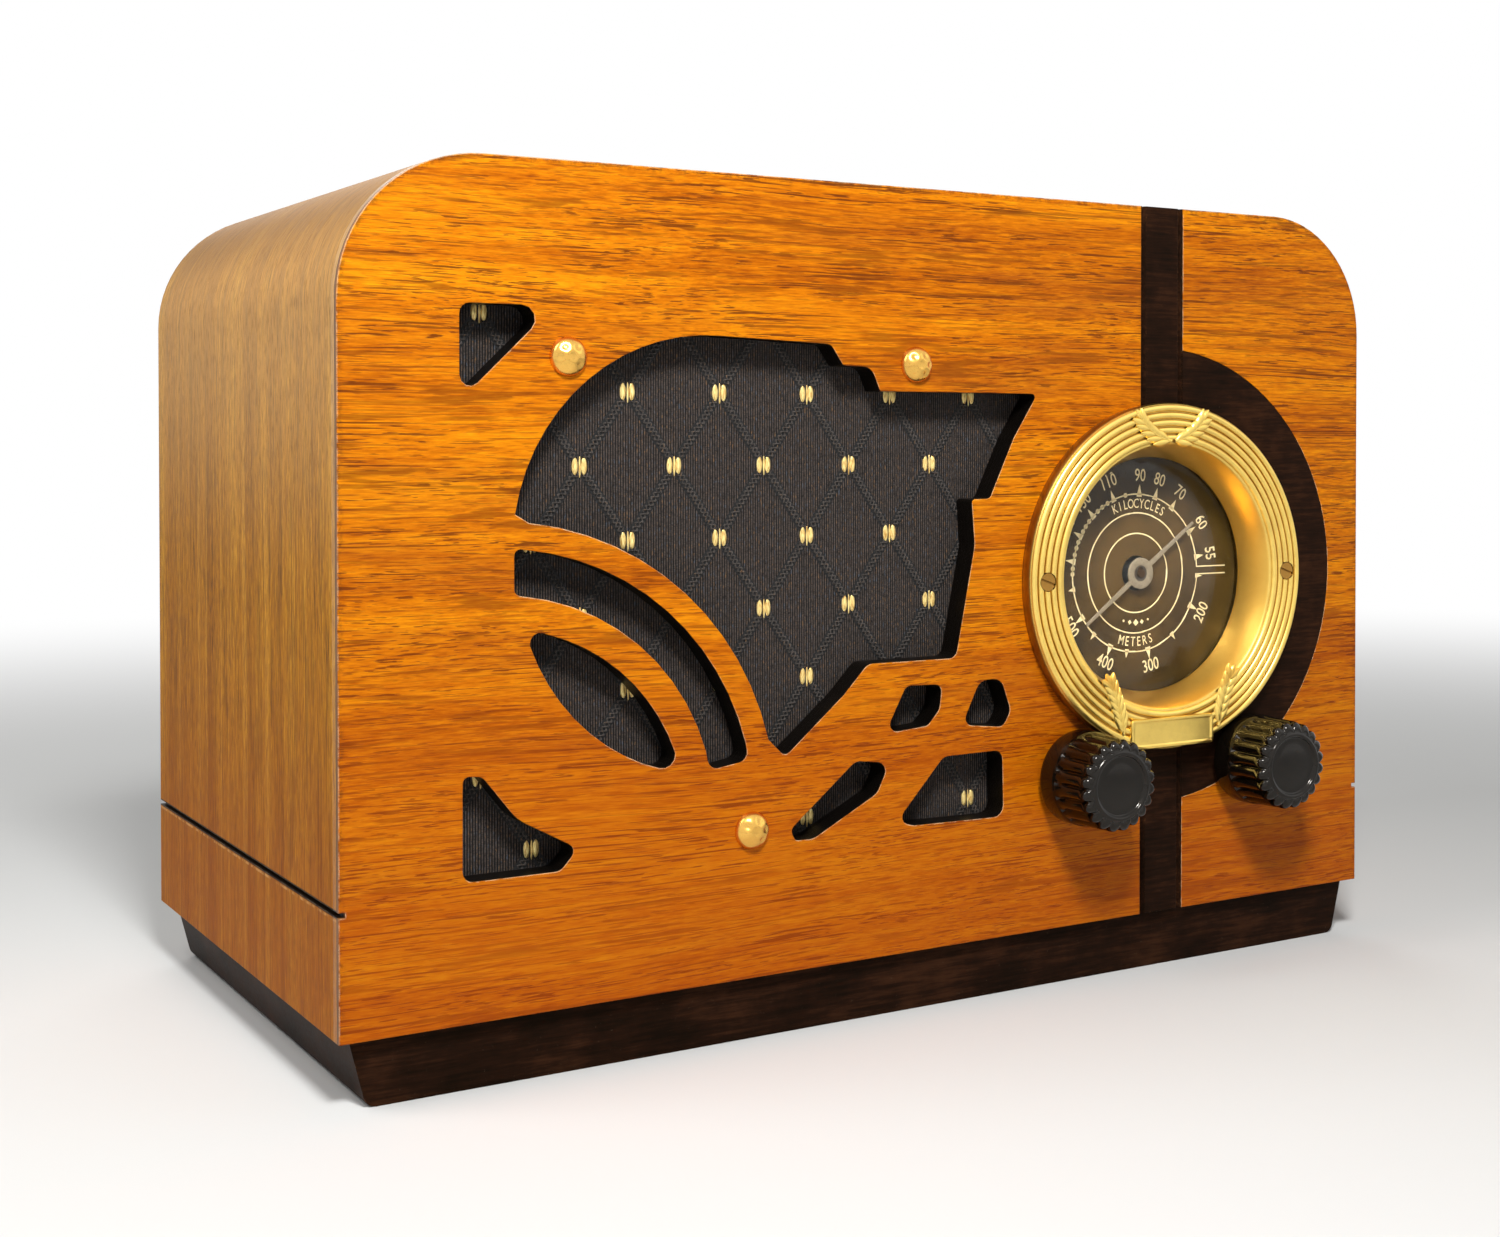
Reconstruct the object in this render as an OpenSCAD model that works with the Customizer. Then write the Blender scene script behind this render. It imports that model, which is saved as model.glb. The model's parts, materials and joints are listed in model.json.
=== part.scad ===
// Table radio with tubes, from the late 1930s, in millimetres.
// X runs to the right, Y to the back and Z up. The front looks along -Y.
// The origin is the middle of the underside of the whole radio.

/* [Cabinet] */
// Width over the wooden sides
cabinet_w = 310; // [300:1:340]
// Height of the wooden case above its base
wood_h = 200; // [196:1:230]
// Depth from the front face to the back edge of the sides
cabinet_d = 171; // [168:1:190]
// Thickness of the bent plywood sides and top
wall_t = 8; // [6:0.5:10]
// Outer radius of the two top corners
corner_r = 34; // [24:1:44]
// Thickness of the front panel
panel_t = 7.5; // [6.5:0.5:9]
// Thickness of the panel's edge that laps over the sides
panel_lip = 4; // [3:0.5:5]
// Gap between the panel's back step and the sides
panel_gap = 0.3; // [0.2:0.1:0.6]
// Thickness of the inner floor board
floor_t = 6; // [4:0.5:8]
// Height of the sawn line on the sides above the wood's lower edge
groove_up = 28.8; // [20:0.2:36]
// Width of the sawn line
groove_w = 1.2; // [0.8:0.1:2]
// Depth of the sawn line
groove_depth = 1.5; // [0.8:0.1:3]
// Leg of the triangular glue blocks
block_leg = 10; // [8:0.5:11]
// Length of the glue blocks
block_len = 36; // [30:1:40]

/* [Base] */
// Height of the black base board
base_h = 16; // [12:1:24]
// Distance of the base board's face behind the front panel
base_setback = 3; // [1:0.5:6]
// Distance of the base board's back behind the sides' back edge
base_rear_inset = 6; // [3:0.5:10]
// Inset of the base board's ends where they meet the wood
base_end_inset = 3; // [2:0.5:6]
// Further inset of the ends at the bottom
base_end_slope = 4; // [2:0.5:6]
// Radius of the lower corners of the base board
base_edge_r = 3; // [1:0.5:5]

/* [Front layout] */
// Dial axis from the right side of the wood
dial_in = 76.2; // [74:0.2:80]
// Dial axis above the wood's lower edge
dial_up = 95.7; // [93:0.1:98]
// Knob axes above the wood's lower edge
knob_up = 41.5; // [40:0.5:42]
// Distance between the two knob axes
knob_spread = 62; // [60:0.5:64]
// Speaker axis from the left side of the wood
speaker_in = 102.9; // [100:0.1:104]
// Speaker axis above the wood's lower edge
speaker_up = 105.4; // [104:0.1:108]
// Width of the black centre stripe
stripe_w = 14.8; // [12:0.2:18]
// Width of the grooves along the stripe's two sides
stripe_groove_w = 1.7; // [1:0.1:2.4]
// Depth of those grooves
stripe_groove_depth = 1.1; // [0.6:0.1:1.5]
// Radius of the black half disc beside the stripe
crescent_r = 64.2; // [60:0.2:66]
// Thickness of the black inlays
inlay_t = 2; // [1.8:0.1:3]
// Gap round the inlays
inlay_gap = 0.2; // [0.1:0.05:0.4]

/* [Dial] */
// Outer radius of the bezel
bezel_r = 49; // [47:0.5:51]
// Inner radius of the ribbed ring
bezel_ring_r = 37.6; // [36.5:0.1:38.4]
// Height of the ribbed ring in front of the panel
bezel_h = 4.2; // [3:0.1:6]
// Height of the ribs above the ring
rib_h = 0.9; // [0.5:0.1:1.2]
// Number of ribs on the ring
rib_count = 5; // [3:1:6]
// Radius of the opening at the back of the bezel's cone
window_r = 33.5; // [32:0.1:34]
// Depth of the cone's back edge behind the panel's face
cone_back = 5.5; // [4:0.1:6]
// Sheet thickness of the bezel's cone
bezel_t = 1.2; // [0.8:0.1:1.6]
// Radius of the panel's hole for the dial
dial_hole_r = 38.5; // [37.8:0.1:40]
// Radius of the glass
glass_r = 36.4; // [35:0.1:37]
// Thickness of the glass
glass_t = 1.4; // [1:0.1:2]
// Rise of the glass dome
glass_rise = 4; // [2:0.5:5]
// Radius of the bezel screws' circle
bezel_screw_r = 43.3; // [42:0.1:44]
// Width of the bezel's plain name plate
plate_w = 26; // [20:0.5:28]
// Height of that plate
plate_h = 9.5; // [7:0.5:11]
// Radius of the dial card
card_r = 36.5; // [34:0.5:37.5]
// Distance of the dial card behind the panel's back
card_behind = 4.5; // [4.3:0.1:5.5]
// Thickness of the dial card
card_t = 0.6; // [0.4:0.1:1]
// Length of each arm of the pointer
pointer_len = 24; // [20:0.5:27]
// Angle of the pointer above three o'clock at rest
pointer_rest = 36; // [0:1:90]

/* [Knobs] */
// Diameter of the knobs
knob_d = 26; // [22:0.5:26]
// Distance of the knobs' faces in front of the panel
knob_reach = 22; // [19:0.5:26]
// Gap between knob and panel
knob_gap = 1.5; // [1:0.1:2.5]
// Number of flutes round a knob
flute_count = 24; // [16:1:28]
// Radius of each flute
flute_r = 1.1; // [0.8:0.1:1.4]
// Length of the smooth skirt behind the flutes
skirt_len = 7; // [4:0.5:9]
// Radius of the quarter inch shafts
shaft_r = 3.175; // [3:0.025:3.3]
// Depth of the knobs' shaft hole
knob_bore = 14; // [10:0.5:16]
// Radius of the panel holes for the shafts
shaft_hole_r = 5.5; // [5:0.1:6.5]

/* [Tuning drive] */
// Radius of the drive disc
disc_r = 50; // [48:0.5:51]
// Thickness of the drive disc
disc_t = 1.5; // [1:0.1:2]
// Distance of the drive disc behind the panel's back
disc_behind = 11; // [10.6:0.1:11.6]
// Width of the friction wheel
wheel_w = 4; // [3:0.5:5]
// Gap between the friction wheel and the disc's edge
drive_gap = 0.3; // [0.2:0.05:0.4]
// Radius of the bushes' thread
bush_r = 4.76; // [4.5:0.02:5]

/* [Chassis] */
// Distance of the chassis front behind the panel's back
apron_behind = 17; // [16.5:0.1:18]
// Height of the chassis
chassis_h = 50; // [49:0.5:53]
// Depth of the chassis from front to back
chassis_d = 136; // [134:0.5:138]
// Sheet thickness of the chassis
chassis_t = 1; // [0.8:0.1:1.5]
// Chassis edge to the right of the dial axis
chassis_right = 60; // [59:0.5:62]
// Chassis edge to the left of the dial axis, beside the speaker
chassis_left = 96.8; // [95:0.2:98]
// Chassis edge to the left of the dial axis, behind the speaker
chassis_wing = 199; // [198:0.5:206]
// Depth of the part behind the speaker
wing_d = 48; // [47:0.5:50]
// Radius of the chassis bolts
bolt_r = 2; // [1.5:0.1:2.5]
// Radius of the rotor plates
rotor_r = 20; // [17:0.5:20.5]
// Radius of the fixed plates
stator_r = 25; // [24:0.5:25.5]
// Pitch of the fixed plates
plate_pitch = 3; // [2.6:0.1:3.1]
// Thickness of the condenser plates
plate_t = 0.6; // [0.4:0.1:0.8]
// Number of fixed plates in each gang
plate_count = 8; // [5:1:8]
// Depth of the condenser frame from front to back
gang_d = 56; // [55:0.5:58]

/* [Tubes] */
// Radius of the tube bases
tube_base_r = 16; // [14.5:0.5:16.5]
// Height of the tube bases
tube_base_h = 26; // [22:0.5:30]
// Radius of the smaller glass bulbs
bulb_r = 19; // [17:0.5:19.5]
// Radius of the output tube's bulb
big_bulb_r = 22; // [20:0.5:22.5]
// Length of the smaller bulbs above their base
bulb_h = 72; // [64:1:76]
// Length of the output tube's bulb
big_bulb_h = 80; // [74:1:84]
// Glass thickness of the bulbs
bulb_t = 0.8; // [0.6:0.1:1.2]
// Radius of the tube shields
shield_r = 21.5; // [20.5:0.1:21.8]
// Height of the tube shields
shield_h = 96; // [95:1:97]
// Width of the square coil cans
can_w = 32; // [28:0.5:32]
// Height of the coil cans
can_h = 70; // [60:1:80]

/* [Speaker] */
// Thickness of the speaker board
board_t = 6; // [5:0.5:7]
// Thickness of the grille cloth
cloth_t = 0.8; // [0.5:0.1:1]
// Gap on each side of the cloth
cloth_gap = 0.3; // [0.2:0.05:0.5]
// Radius of the speaker opening in the board
mouth_r = 56; // [54:0.5:57]
// Outer radius of the speaker frame
frame_r = 74; // [73:0.5:75]
// Radius of the circle of panel bolts
bolt_circle_r = 68.5; // [67:0.5:69.5]
// Radius of the cone's moving edge
cone_r = 50; // [47:0.5:51]
// Depth of the speaker frame
frame_depth = 33; // [30:0.5:36]
// Radius of the voice coil
coil_r = 13; // [11:0.5:14]
// Radius of the field coil
field_r = 25; // [22:0.5:27]
// Length of the field coil
field_len = 36; // [30:0.5:40]
// Sheet and paper gap round the voice coil
voice_gap = 0.4; // [0.3:0.05:0.6]

/* [Hidden] */
$fn = 72;
corner_steps = 4;
run_gap = 0.05;
fit_gap = 0.3;
over = 1;

// Main planes
front_y = (knob_reach - cabinet_d) / 2;
rear_y = front_y + cabinet_d;
panel_back = front_y + panel_t;
wood_z = base_h;
top_z = wood_z + wood_h;
left_x = -cabinet_w / 2;
inner_w = cabinet_w - 2 * wall_t;
dial_x = cabinet_w / 2 - dial_in;
dial_z = wood_z + dial_up;
knob_z = wood_z + knob_up;
tuning_x = dial_x - knob_spread / 2;
volume_x = dial_x + knob_spread / 2;
speaker_x = left_x + speaker_in;
speaker_z = wood_z + speaker_up;
cone_back_y = front_y + cone_back;
card_y = panel_back + card_behind;
disc_y = panel_back + disc_behind;
apron_y = panel_back + apron_behind;
floor_z = wood_z + floor_t;
chassis_top = floor_z + chassis_h;
rear_apron_y = apron_y + chassis_d;
chassis_x0 = dial_x - chassis_left;
chassis_x1 = dial_x + chassis_right;
wing_x = dial_x - chassis_wing;
wing_y = rear_apron_y - wing_d;
cloth_y = panel_back + cloth_gap;
board_y = cloth_y + cloth_t + cloth_gap;
board_back = board_y + board_t;
wheel_r = norm([knob_spread / 2, dial_z - knob_z]) - disc_r - drive_gap;

// Openings of the front panel: [across from the left edge, up from the wood's lower edge, radius]
top_triangle = [[28, 165.7, 2.5], [51, 165.7, 3.3], [28, 143.2, 2.5]];
low_triangle = [
    [28.4, 32.7, 2.5], [52.2, 32.7, 2.8], [56.6, 37.6, 2],
    [41.5, 46, 12], [33.2, 56.6, 2.2], [28.5, 57.2, 1.5]
];
small_leaf = [[141.8, 57.9, 2], [148.3, 70, 2.5], [159.5, 69.6, 2], [158.6, 63, 3], [155, 59, 2.5]];
small_drop = [[165.9, 58.3, 2], [171.5, 69.8, 4], [178.4, 70, 3.5], [181.6, 61, 3.5], [179, 56.8, 2.5]];
long_leaf = [
    [113.8, 35.9, 1.8], [133, 51.6, 3.5], [143.2, 50.2, 2.5],
    [139.3, 42.6, 4], [120.5, 32.9, 5], [115.2, 33, 1.5]
];
low_sail = [[145.4, 34.6, 2], [160, 50.4, 3], [178.8, 50.6, 2.5], [179.2, 32.6, 3], [150.5, 33.1, 5]];
// The fan of arcs shares one centre
fan = [35.5, 41.2];
fan_sail_r = 74.3;
fan_band_r1 = 68;
fan_band_r0 = 57.2;
fan_lens_r = 49.4;
lens_low = [93.3, 103.8];
lens_low_r = 51.6;
sail_top = [91.5, 109];
sail_top_r = 50.9;
steps_right = [
    [125.6, 158.6, 2.5], [129.3, 153.2, 1.5], [137.6, 153, 3.5], [140.3, 146.8, 0.4], [190.3, 146.7, 1],
    [182.4, 134.6, 0], [174.6, 118.4, 1.5], [168.8, 118.4, 1], [169.8, 106, 8], [163.8, 76.3, 2.5],
    [136.6, 76.4, 3], [129.3, 68.8, 0], [112.3, 54.5, 1.8]
];

function unit(v) = v / norm(v);
function swing(d) = d > 180 ? d - 360 : d < -180 ? d + 360 : d;
function bearing(v) = atan2(v[1], v[0]);
function polar(r, a) = r * [cos(a), sin(a)];
function round_corner(a, b, c, r) =
    let (
        u = unit(a - b),
        w = unit(c - b),
        half = acos(u * w) / 2,
        o = b + unit(u + w) * r / sin(half),
        a0 = bearing(b + u * r / tan(half) - o),
        turn = swing(bearing(b + w * r / tan(half) - o) - a0)
    )
    [for (i = [0:corner_steps]) o + polar(r, a0 + turn * i / corner_steps)];
function flat(p) = [p[0], p[1]];
function rounded(p) = [
    for (i = [0:len(p) - 1])
        let (a = p[(i + len(p) - 1) % len(p)], b = p[i], c = p[(i + 1) % len(p)])
        each (b[2] == 0 ? [flat(b)] : round_corner(flat(a), flat(b), flat(c), b[2]))
];
// Points of an arc, each with a corner radius of nothing
function arc(c, r, a0, a1, n) = [
    for (i = [0:n])
        let (p = c + polar(r, a0 + (a1 - a0) * i / n))
        [p[0], p[1], 0]
];

// Moves a flat outline, drawn across and up, to a plate that starts at y0
module plate_y(y0, t) {
    translate([0, y0 + t, 0]) rotate([90, 0, 0]) linear_extrude(t) children();
}
// Turns a profile of radius and depth round an axis along Y
module turned_y(x, z, y0) {
    translate([x, y0, z]) rotate([-90, 0, 0]) rotate_extrude() children();
}
module rod_y(x, z, y0, y1, r) {
    translate([x, y0, z]) rotate([-90, 0, 0]) cylinder(r = r, h = y1 - y0);
}
module rod_z(x, y, z0, z1, r) {
    translate([x, y, z0]) cylinder(r = r, h = z1 - z0);
}
module box(x0, x1, y0, y1, z0, z1) {
    translate([x0, y0, z0]) cube([x1 - x0, y1 - y0, z1 - z0]);
}
// Outline with square lower and round upper corners, centred across
module arch(w, z0, z1, r) {
    translate([-w / 2, z0]) square([w, z1 - z0 - r]);
    translate([-w / 2 + r, z0]) square([w - 2 * r, z1 - z0]);
    for (side = [-1, 1]) translate([side * (w / 2 - r), z1 - r]) circle(r);
}

// Fasteners
nut_h = 3;
nut_r = 4;
bolt_tail = 2;
panel_bolt_r = 2;
dome_r = 4.75;
dome_h = 3;
flange_t = 1.2;
flange_back = board_back + flange_t;
screw_r = 1.2;
screw_len = 6;
screw_head_r = 2.4;
screw_head_h = 1.3;
screw_sink = 0.6;
bezel_screw_x = [dial_x - bezel_screw_r, dial_x + bezel_screw_r];

// Cabinet
head_r = 4;
head_h = 2.8;
head_recess = head_h + 1;
tab_w = 14;
tab_in = tab_w / 2 + chassis_t;
bolt_places = [
    [chassis_x0 + tab_in, apron_y + tab_in], [chassis_x1 - tab_in, apron_y + tab_in],
    [wing_x + tab_in, rear_apron_y - tab_in], [chassis_x1 - tab_in, rear_apron_y - tab_in]
];
module bolt_holes(r, z0, z1) {
    for (p = bolt_places) rod_z(p[0], p[1], z0, z1, r);
}
module base_board() {
    half = cabinet_w / 2 - base_end_inset;
    color("#1c1815") difference() {
        plate_y(front_y + base_setback, cabinet_d - base_setback - base_rear_inset) polygon(rounded([
            [-half, base_h, 0], [-half + base_end_slope, 0, base_edge_r],
            [half - base_end_slope, 0, base_edge_r], [half, base_h, 0]
        ]));
        bolt_holes(bolt_r + run_gap, -over, base_h + over);
        bolt_holes(head_r + fit_gap, -over, head_recess);
    }
}
module floor_board() {
    color("#a9835a") difference() {
        box(-inner_w / 2, inner_w / 2, panel_back, rear_y - 2, wood_z, floor_z);
        bolt_holes(bolt_r + run_gap, wood_z - over, floor_z + over);
    }
}
module side_grooves(y0, y1) {
    z = wood_z + groove_up;
    for (side = [-1, 1]) translate([side * cabinet_w / 2, 0, 0])
        box(-groove_depth, groove_depth, y0, y1, z - groove_w / 2, z + groove_w / 2);
}
module cabinet_shell() {
    color("#7d5730") difference() {
        plate_y(front_y + panel_lip, cabinet_d - panel_lip) difference() {
            arch(cabinet_w, wood_z, top_z, corner_r);
            arch(inner_w, wood_z - over, top_z - wall_t, corner_r - wall_t);
        }
        side_grooves(front_y, rear_y + over);
    }
}
plain_openings = [top_triangle, low_triangle, small_leaf, small_drop, long_leaf, low_sail];
module fretwork() {
    translate([left_x, wood_z]) {
        for (p = plain_openings) polygon(rounded(p));
        polygon(rounded(concat(
            arc(sail_top, sail_top_r, 171, 87, 14), steps_right, arc(fan, fan_sail_r, 14, 83, 12)
        )));
        polygon(rounded(concat(
            arc(fan, fan_band_r1, 83.5, 15, 12), [[102, 54.6, 2.5], [91.2, 53, 2.5]],
            arc(fan, fan_band_r0, 17, 83, 10), [[41, 98.1, 1.5], [41, 109, 1.5]]
        )));
        polygon(rounded(concat(
            arc(fan, fan_lens_r, 74, 20, 9), [[82.2, 53.2, 3.2]],
            arc(lens_low, lens_low_r, 247, 200, 8), [[44.4, 90.4, 2.5]]
        )));
    }
}
module stripe_outline(gap) {
    translate([dial_x - stripe_w / 2 - gap, wood_z - over])
        square([stripe_w + 2 * gap, wood_h + 2 * over]);
}
module crescent_outline(gap) {
    intersection() {
        translate([dial_x, dial_z]) circle(crescent_r + gap, $fn = 144);
        translate([dial_x + stripe_w / 2 - over, dial_z - crescent_r - over])
            square([crescent_r + over, 2 * crescent_r + 2 * over]);
    }
}
module shaft_holes() {
    for (x = [tuning_x, volume_x]) translate([x, knob_z]) circle(shaft_hole_r);
}
// Places of the three panel bolts, across and up
panel_bolt_places = [for (a = [45, 135, 270]) [speaker_x, speaker_z] + polar(bolt_circle_r, a)];
module bolt_circle(r) {
    for (p = panel_bolt_places) translate(p) circle(r);
}
module front_panel() {
    step_in = wall_t + panel_gap;
    color("#b5651d") difference() {
        union() {
            plate_y(front_y, panel_lip) arch(cabinet_w, wood_z, top_z, corner_r);
            plate_y(front_y + over, panel_t - over)
                arch(inner_w - 2 * panel_gap, wood_z, top_z - step_in, corner_r - step_in);
        }
        plate_y(front_y - over, panel_t + 2 * over) {
            fretwork();
            translate([dial_x, dial_z]) circle(dial_hole_r);
            shaft_holes();
            bolt_circle(panel_bolt_r + run_gap);
        }
        plate_y(front_y - over, inlay_t + over) {
            stripe_outline(inlay_gap);
            crescent_outline(inlay_gap);
        }
        side_grooves(front_y - over, front_y + panel_lip + over);
        for (x = bezel_screw_x)
            rod_y(x, dial_z, front_y - over, front_y + screw_len + fit_gap, screw_r + run_gap);
    }
}
module centre_stripe() {
    g = stripe_groove_w;
    half = stripe_w / 2;
    color("#17130f") difference() {
        translate([dial_x, 0, wood_z]) linear_extrude(wood_h) polygon([
            [-half, front_y], [-half + g / 2, front_y + stripe_groove_depth], [-half + g, front_y],
            [half - g, front_y], [half - g / 2, front_y + stripe_groove_depth], [half, front_y],
            [half, front_y + inlay_t], [-half, front_y + inlay_t]
        ]);
        rod_y(dial_x, dial_z, front_y - over, panel_back, dial_hole_r);
    }
}
module dial_crescent() {
    color("#17130f") difference() {
        plate_y(front_y, inlay_t) difference() {
            crescent_outline(0);
            stripe_outline(inlay_gap);
            translate([dial_x, dial_z]) circle(dial_hole_r);
            shaft_holes();
        }
        rod_y(bezel_screw_x[1], dial_z, front_y - over, panel_back, screw_r + run_gap);
    }
}
// Triangular block in the corner between two faces, along Z
module block_z(x, side, z0) {
    translate([x, panel_back, z0]) linear_extrude(block_len)
        polygon([[0, 0], [side * block_leg, 0], [0, block_leg]]);
}
module glue_blocks() {
    roof = top_z - wall_t;
    side_block_z = wood_z + 60;
    floor_leg = 6;
    color("#c39a62") {
        block_z(-inner_w / 2, 1, side_block_z);
        block_z(inner_w / 2, -1, side_block_z);
        for (x = [dial_x - block_len - 2, dial_x + 2]) translate([x, panel_back, roof])
            rotate([90, 0, 90]) linear_extrude(block_len)
                polygon([[0, 0], [block_leg, 0], [0, -block_leg]]);
        for (side = [-1, 1]) translate([side * inner_w / 2, apron_y + floor_leg, floor_z])
            rotate([-90, 0, 0]) linear_extrude(block_len)
                polygon([[0, 0], [-side * floor_leg, 0], [0, -floor_leg]]);
    }
}

// Grille and speaker board
board_x0 = left_x + 23;
board_x1 = left_x + 194.5;
board_z0 = wood_z + 28;
board_z1 = wood_z + 170;
dial_clear_r = 44;
module board_outline(inset) {
    difference() {
        translate([board_x0 + inset, board_z0 + inset])
            square([board_x1 - board_x0 - 2 * inset, board_z1 - board_z0 - 2 * inset]);
        translate([dial_x, dial_z]) circle(dial_clear_r + inset);
        bolt_circle(panel_bolt_r + run_gap);
    }
}
module speaker_board() {
    color("#8a6a45") plate_y(board_y, board_t) difference() {
        board_outline(0);
        translate([speaker_x, speaker_z]) circle(mouth_r);
    }
}
module grille_cloth() {
    color("#0d0d0f") plate_y(cloth_y, cloth_t) board_outline(1);
}
// Points of a dome from its top to its edge: radius and depth
function dome(r, rise, n) =
    let (ball = (r * r + rise * rise) / (2 * rise))
    [for (i = [0:n]) let (t = asin(r / ball) * i / n) [ball * sin(t), ball - rise - ball * cos(t)]];
module panel_bolts() {
    color("#cfa24a") for (p = panel_bolt_places) {
        rod_y(p[0], p[1], front_y - 0.2, flange_back + nut_h + bolt_tail, panel_bolt_r);
        turned_y(p[0], p[1], front_y) polygon(concat([[0, 0]], dome(dome_r, dome_h, 6)));
    }
}
module panel_nuts() {
    color("silver") for (p = panel_bolt_places) difference() {
        translate([p[0], flange_back, p[1]]) rotate([-90, 0, 0])
            cylinder(r = nut_r, h = nut_h, $fn = 6);
        rod_y(p[0], p[1], board_back, flange_back + nut_h + over, panel_bolt_r + run_gap);
    }
}

// Dial
ring_w = bezel_r - bezel_ring_r;
rib_pitch = (ring_w - 0.8) / rib_count;
// Leaf between two arcs, lying along X
module leaf(len, fat) {
    r = (len * len / 4 + fat * fat / 4) / fat;
    intersection_for (side = [-1, 1]) translate([len / 2, side * (r - fat / 2)]) circle(r);
}
leaf_len = 5;
leaf_w = 1.6;
leaf_lean = 28;
stem_w = 0.7;
module sprig(count, step) {
    for (i = [0:count - 1], side = [-1, 1]) translate([i * step, 0])
        rotate(side * leaf_lean) leaf(leaf_len, leaf_w);
    translate([-step, -stem_w / 2]) square([count * step + step, stem_w]);
}
module bezel_relief() {
    for (side = [-1, 1]) {
        translate([dial_x + side * 1.2, dial_z + bezel_ring_r + 0.6])
            rotate(90 - side * 52) sprig(4, 2.4);
        translate([dial_x + side * (plate_w / 2 + 1.5), dial_z - bezel_r + 5.2])
            rotate(90 - side * 34) sprig(4, 2.6);
    }
    translate([dial_x - plate_w / 2, dial_z - bezel_r + 0.6]) square([plate_w, plate_h]);
}
// Profile of the rounded ribs on the ring, from the outer rib inwards
rib_shape = [[0.9, 0], [0.63, 1], [0.37, 1], [0.1, 0]];
ribs = [
    for (i = [rib_count - 1:-1:0], k = rib_shape)
        [bezel_ring_r + 0.4 + rib_pitch * (i + k[0]), -bezel_h - rib_h * k[1]]
];
relief_h = 0.5;
module dial_bezel() {
    face_y = front_y - bezel_h;
    relief_y = face_y - rib_h - relief_h;
    color("#d4aa55") difference() {
        union() {
            turned_y(dial_x, dial_z, front_y) polygon(concat(
                [[bezel_ring_r, 0], [bezel_r - 0.3, 0]],
                [[bezel_r, -bezel_h + 0.8], [bezel_r - 0.4, -bezel_h]],
                ribs,
                [[bezel_ring_r - 0.2, -bezel_h], [window_r, cone_back], [window_r + bezel_t, cone_back],
                 [bezel_ring_r, bezel_t]]
            ));
            intersection() {
                plate_y(relief_y, face_y + 0.5 - relief_y) bezel_relief();
                rod_y(dial_x, dial_z, relief_y - over, front_y, bezel_r - 0.2);
            }
        }
        for (x = bezel_screw_x) {
            rod_y(x, dial_z, relief_y - over, front_y + over, screw_r + run_gap);
            rod_y(x, dial_z, relief_y - over, face_y + screw_sink, screw_head_r + 0.2);
        }
    }
}
module bezel_screws() {
    face_y = front_y - bezel_h;
    head_y = face_y + screw_sink - screw_head_h;
    half = screw_head_r + over;
    slot_w = 0.6;
    slot_turn = 20;
    color("#a98442") for (x = bezel_screw_x) translate([x, 0, dial_z]) difference() {
        union() {
            rod_y(0, 0, face_y, front_y + screw_len, screw_r);
            rod_y(0, 0, head_y, face_y + screw_sink, screw_head_r);
        }
        rotate([0, slot_turn, 0])
            box(-half, half, head_y - over, head_y + 0.5, -slot_w / 2, slot_w / 2);
    }
}
module dial_glass() {
    edge_r = window_r - 0.4;
    inside = dome(edge_r - glass_t, glass_rise - 0.4, 10);
    color([0.9, 0.95, 1, 0.3]) turned_y(dial_x, dial_z, cone_back_y) polygon(concat(
        dome(edge_r, glass_rise, 10), [[glass_r, 0], [glass_r, glass_t]],
        [for (i = [10:-1:0]) inside[i] + [0, glass_t]]
    ));
}
card_hole_r = 5;
module dial_card() {
    color("#4a3626") plate_y(card_y, card_t) translate([dial_x, dial_z]) difference() {
        circle(card_r);
        circle(card_hole_r);
    }
}
bracket_t = 1.2;
leg_w = 24;
foot_h = 12;
lamp_y = panel_back + 5.6;
lamp_r = 4.5;
sleeve_r = 5.2;
lamp_z0 = dial_z + card_r + 3;
lamp_glass_h = 16;
lamp_base_h = 10;
lamp_top = lamp_z0 + lamp_glass_h + lamp_base_h;
shelf_z = dial_z - disc_r - 4.5;
module dial_bracket() {
    plate_start = card_y + card_t;
    foot_y = apron_y - bracket_t;
    shelf_top = shelf_z + bracket_t;
    x0 = dial_x - leg_w / 2;
    x1 = dial_x + leg_w / 2;
    arm_x = dial_x + sleeve_r + 2;
    arm_w = 9;
    color("#9a9a96") {
        plate_y(plate_start, bracket_t) difference() {
            union() {
                translate([dial_x, dial_z]) circle(card_r);
                translate([x0, shelf_z]) square([leg_w, dial_z - shelf_z]);
                translate([arm_x, dial_z]) square([arm_w, lamp_top + bracket_t - dial_z]);
            }
            translate([dial_x, dial_z]) circle(card_hole_r + 1);
        }
        box(x0, x1, plate_start, foot_y, shelf_z, shelf_top);
        box(x0, x1, foot_y, apron_y, shelf_top - foot_h, shelf_top);
        translate([0, 0, lamp_top])
            box(dial_x - sleeve_r, arm_x + arm_w, lamp_y - 4, plate_start + bracket_t, 0, bracket_t);
    }
}
module lamp_socket() {
    color("#c9a65a") difference() {
        rod_z(dial_x, lamp_y, lamp_top - lamp_base_h, lamp_top, sleeve_r);
        rod_z(dial_x, lamp_y, lamp_top - lamp_base_h - over, lamp_top - 1, lamp_r + 0.2);
    }
}
module pilot_lamp() {
    end = lamp_glass_h + lamp_base_h - 1;
    color([1, 0.95, 0.8, 0.6]) translate([dial_x, lamp_y, lamp_z0]) rotate_extrude() polygon(concat(
        [for (i = [0:6]) [0, lamp_r] + polar(lamp_r, 15 * i - 90)],
        [[lamp_r, lamp_glass_h - 2], [lamp_r - 0.3, end], [0, end]]
    ));
}

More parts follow.
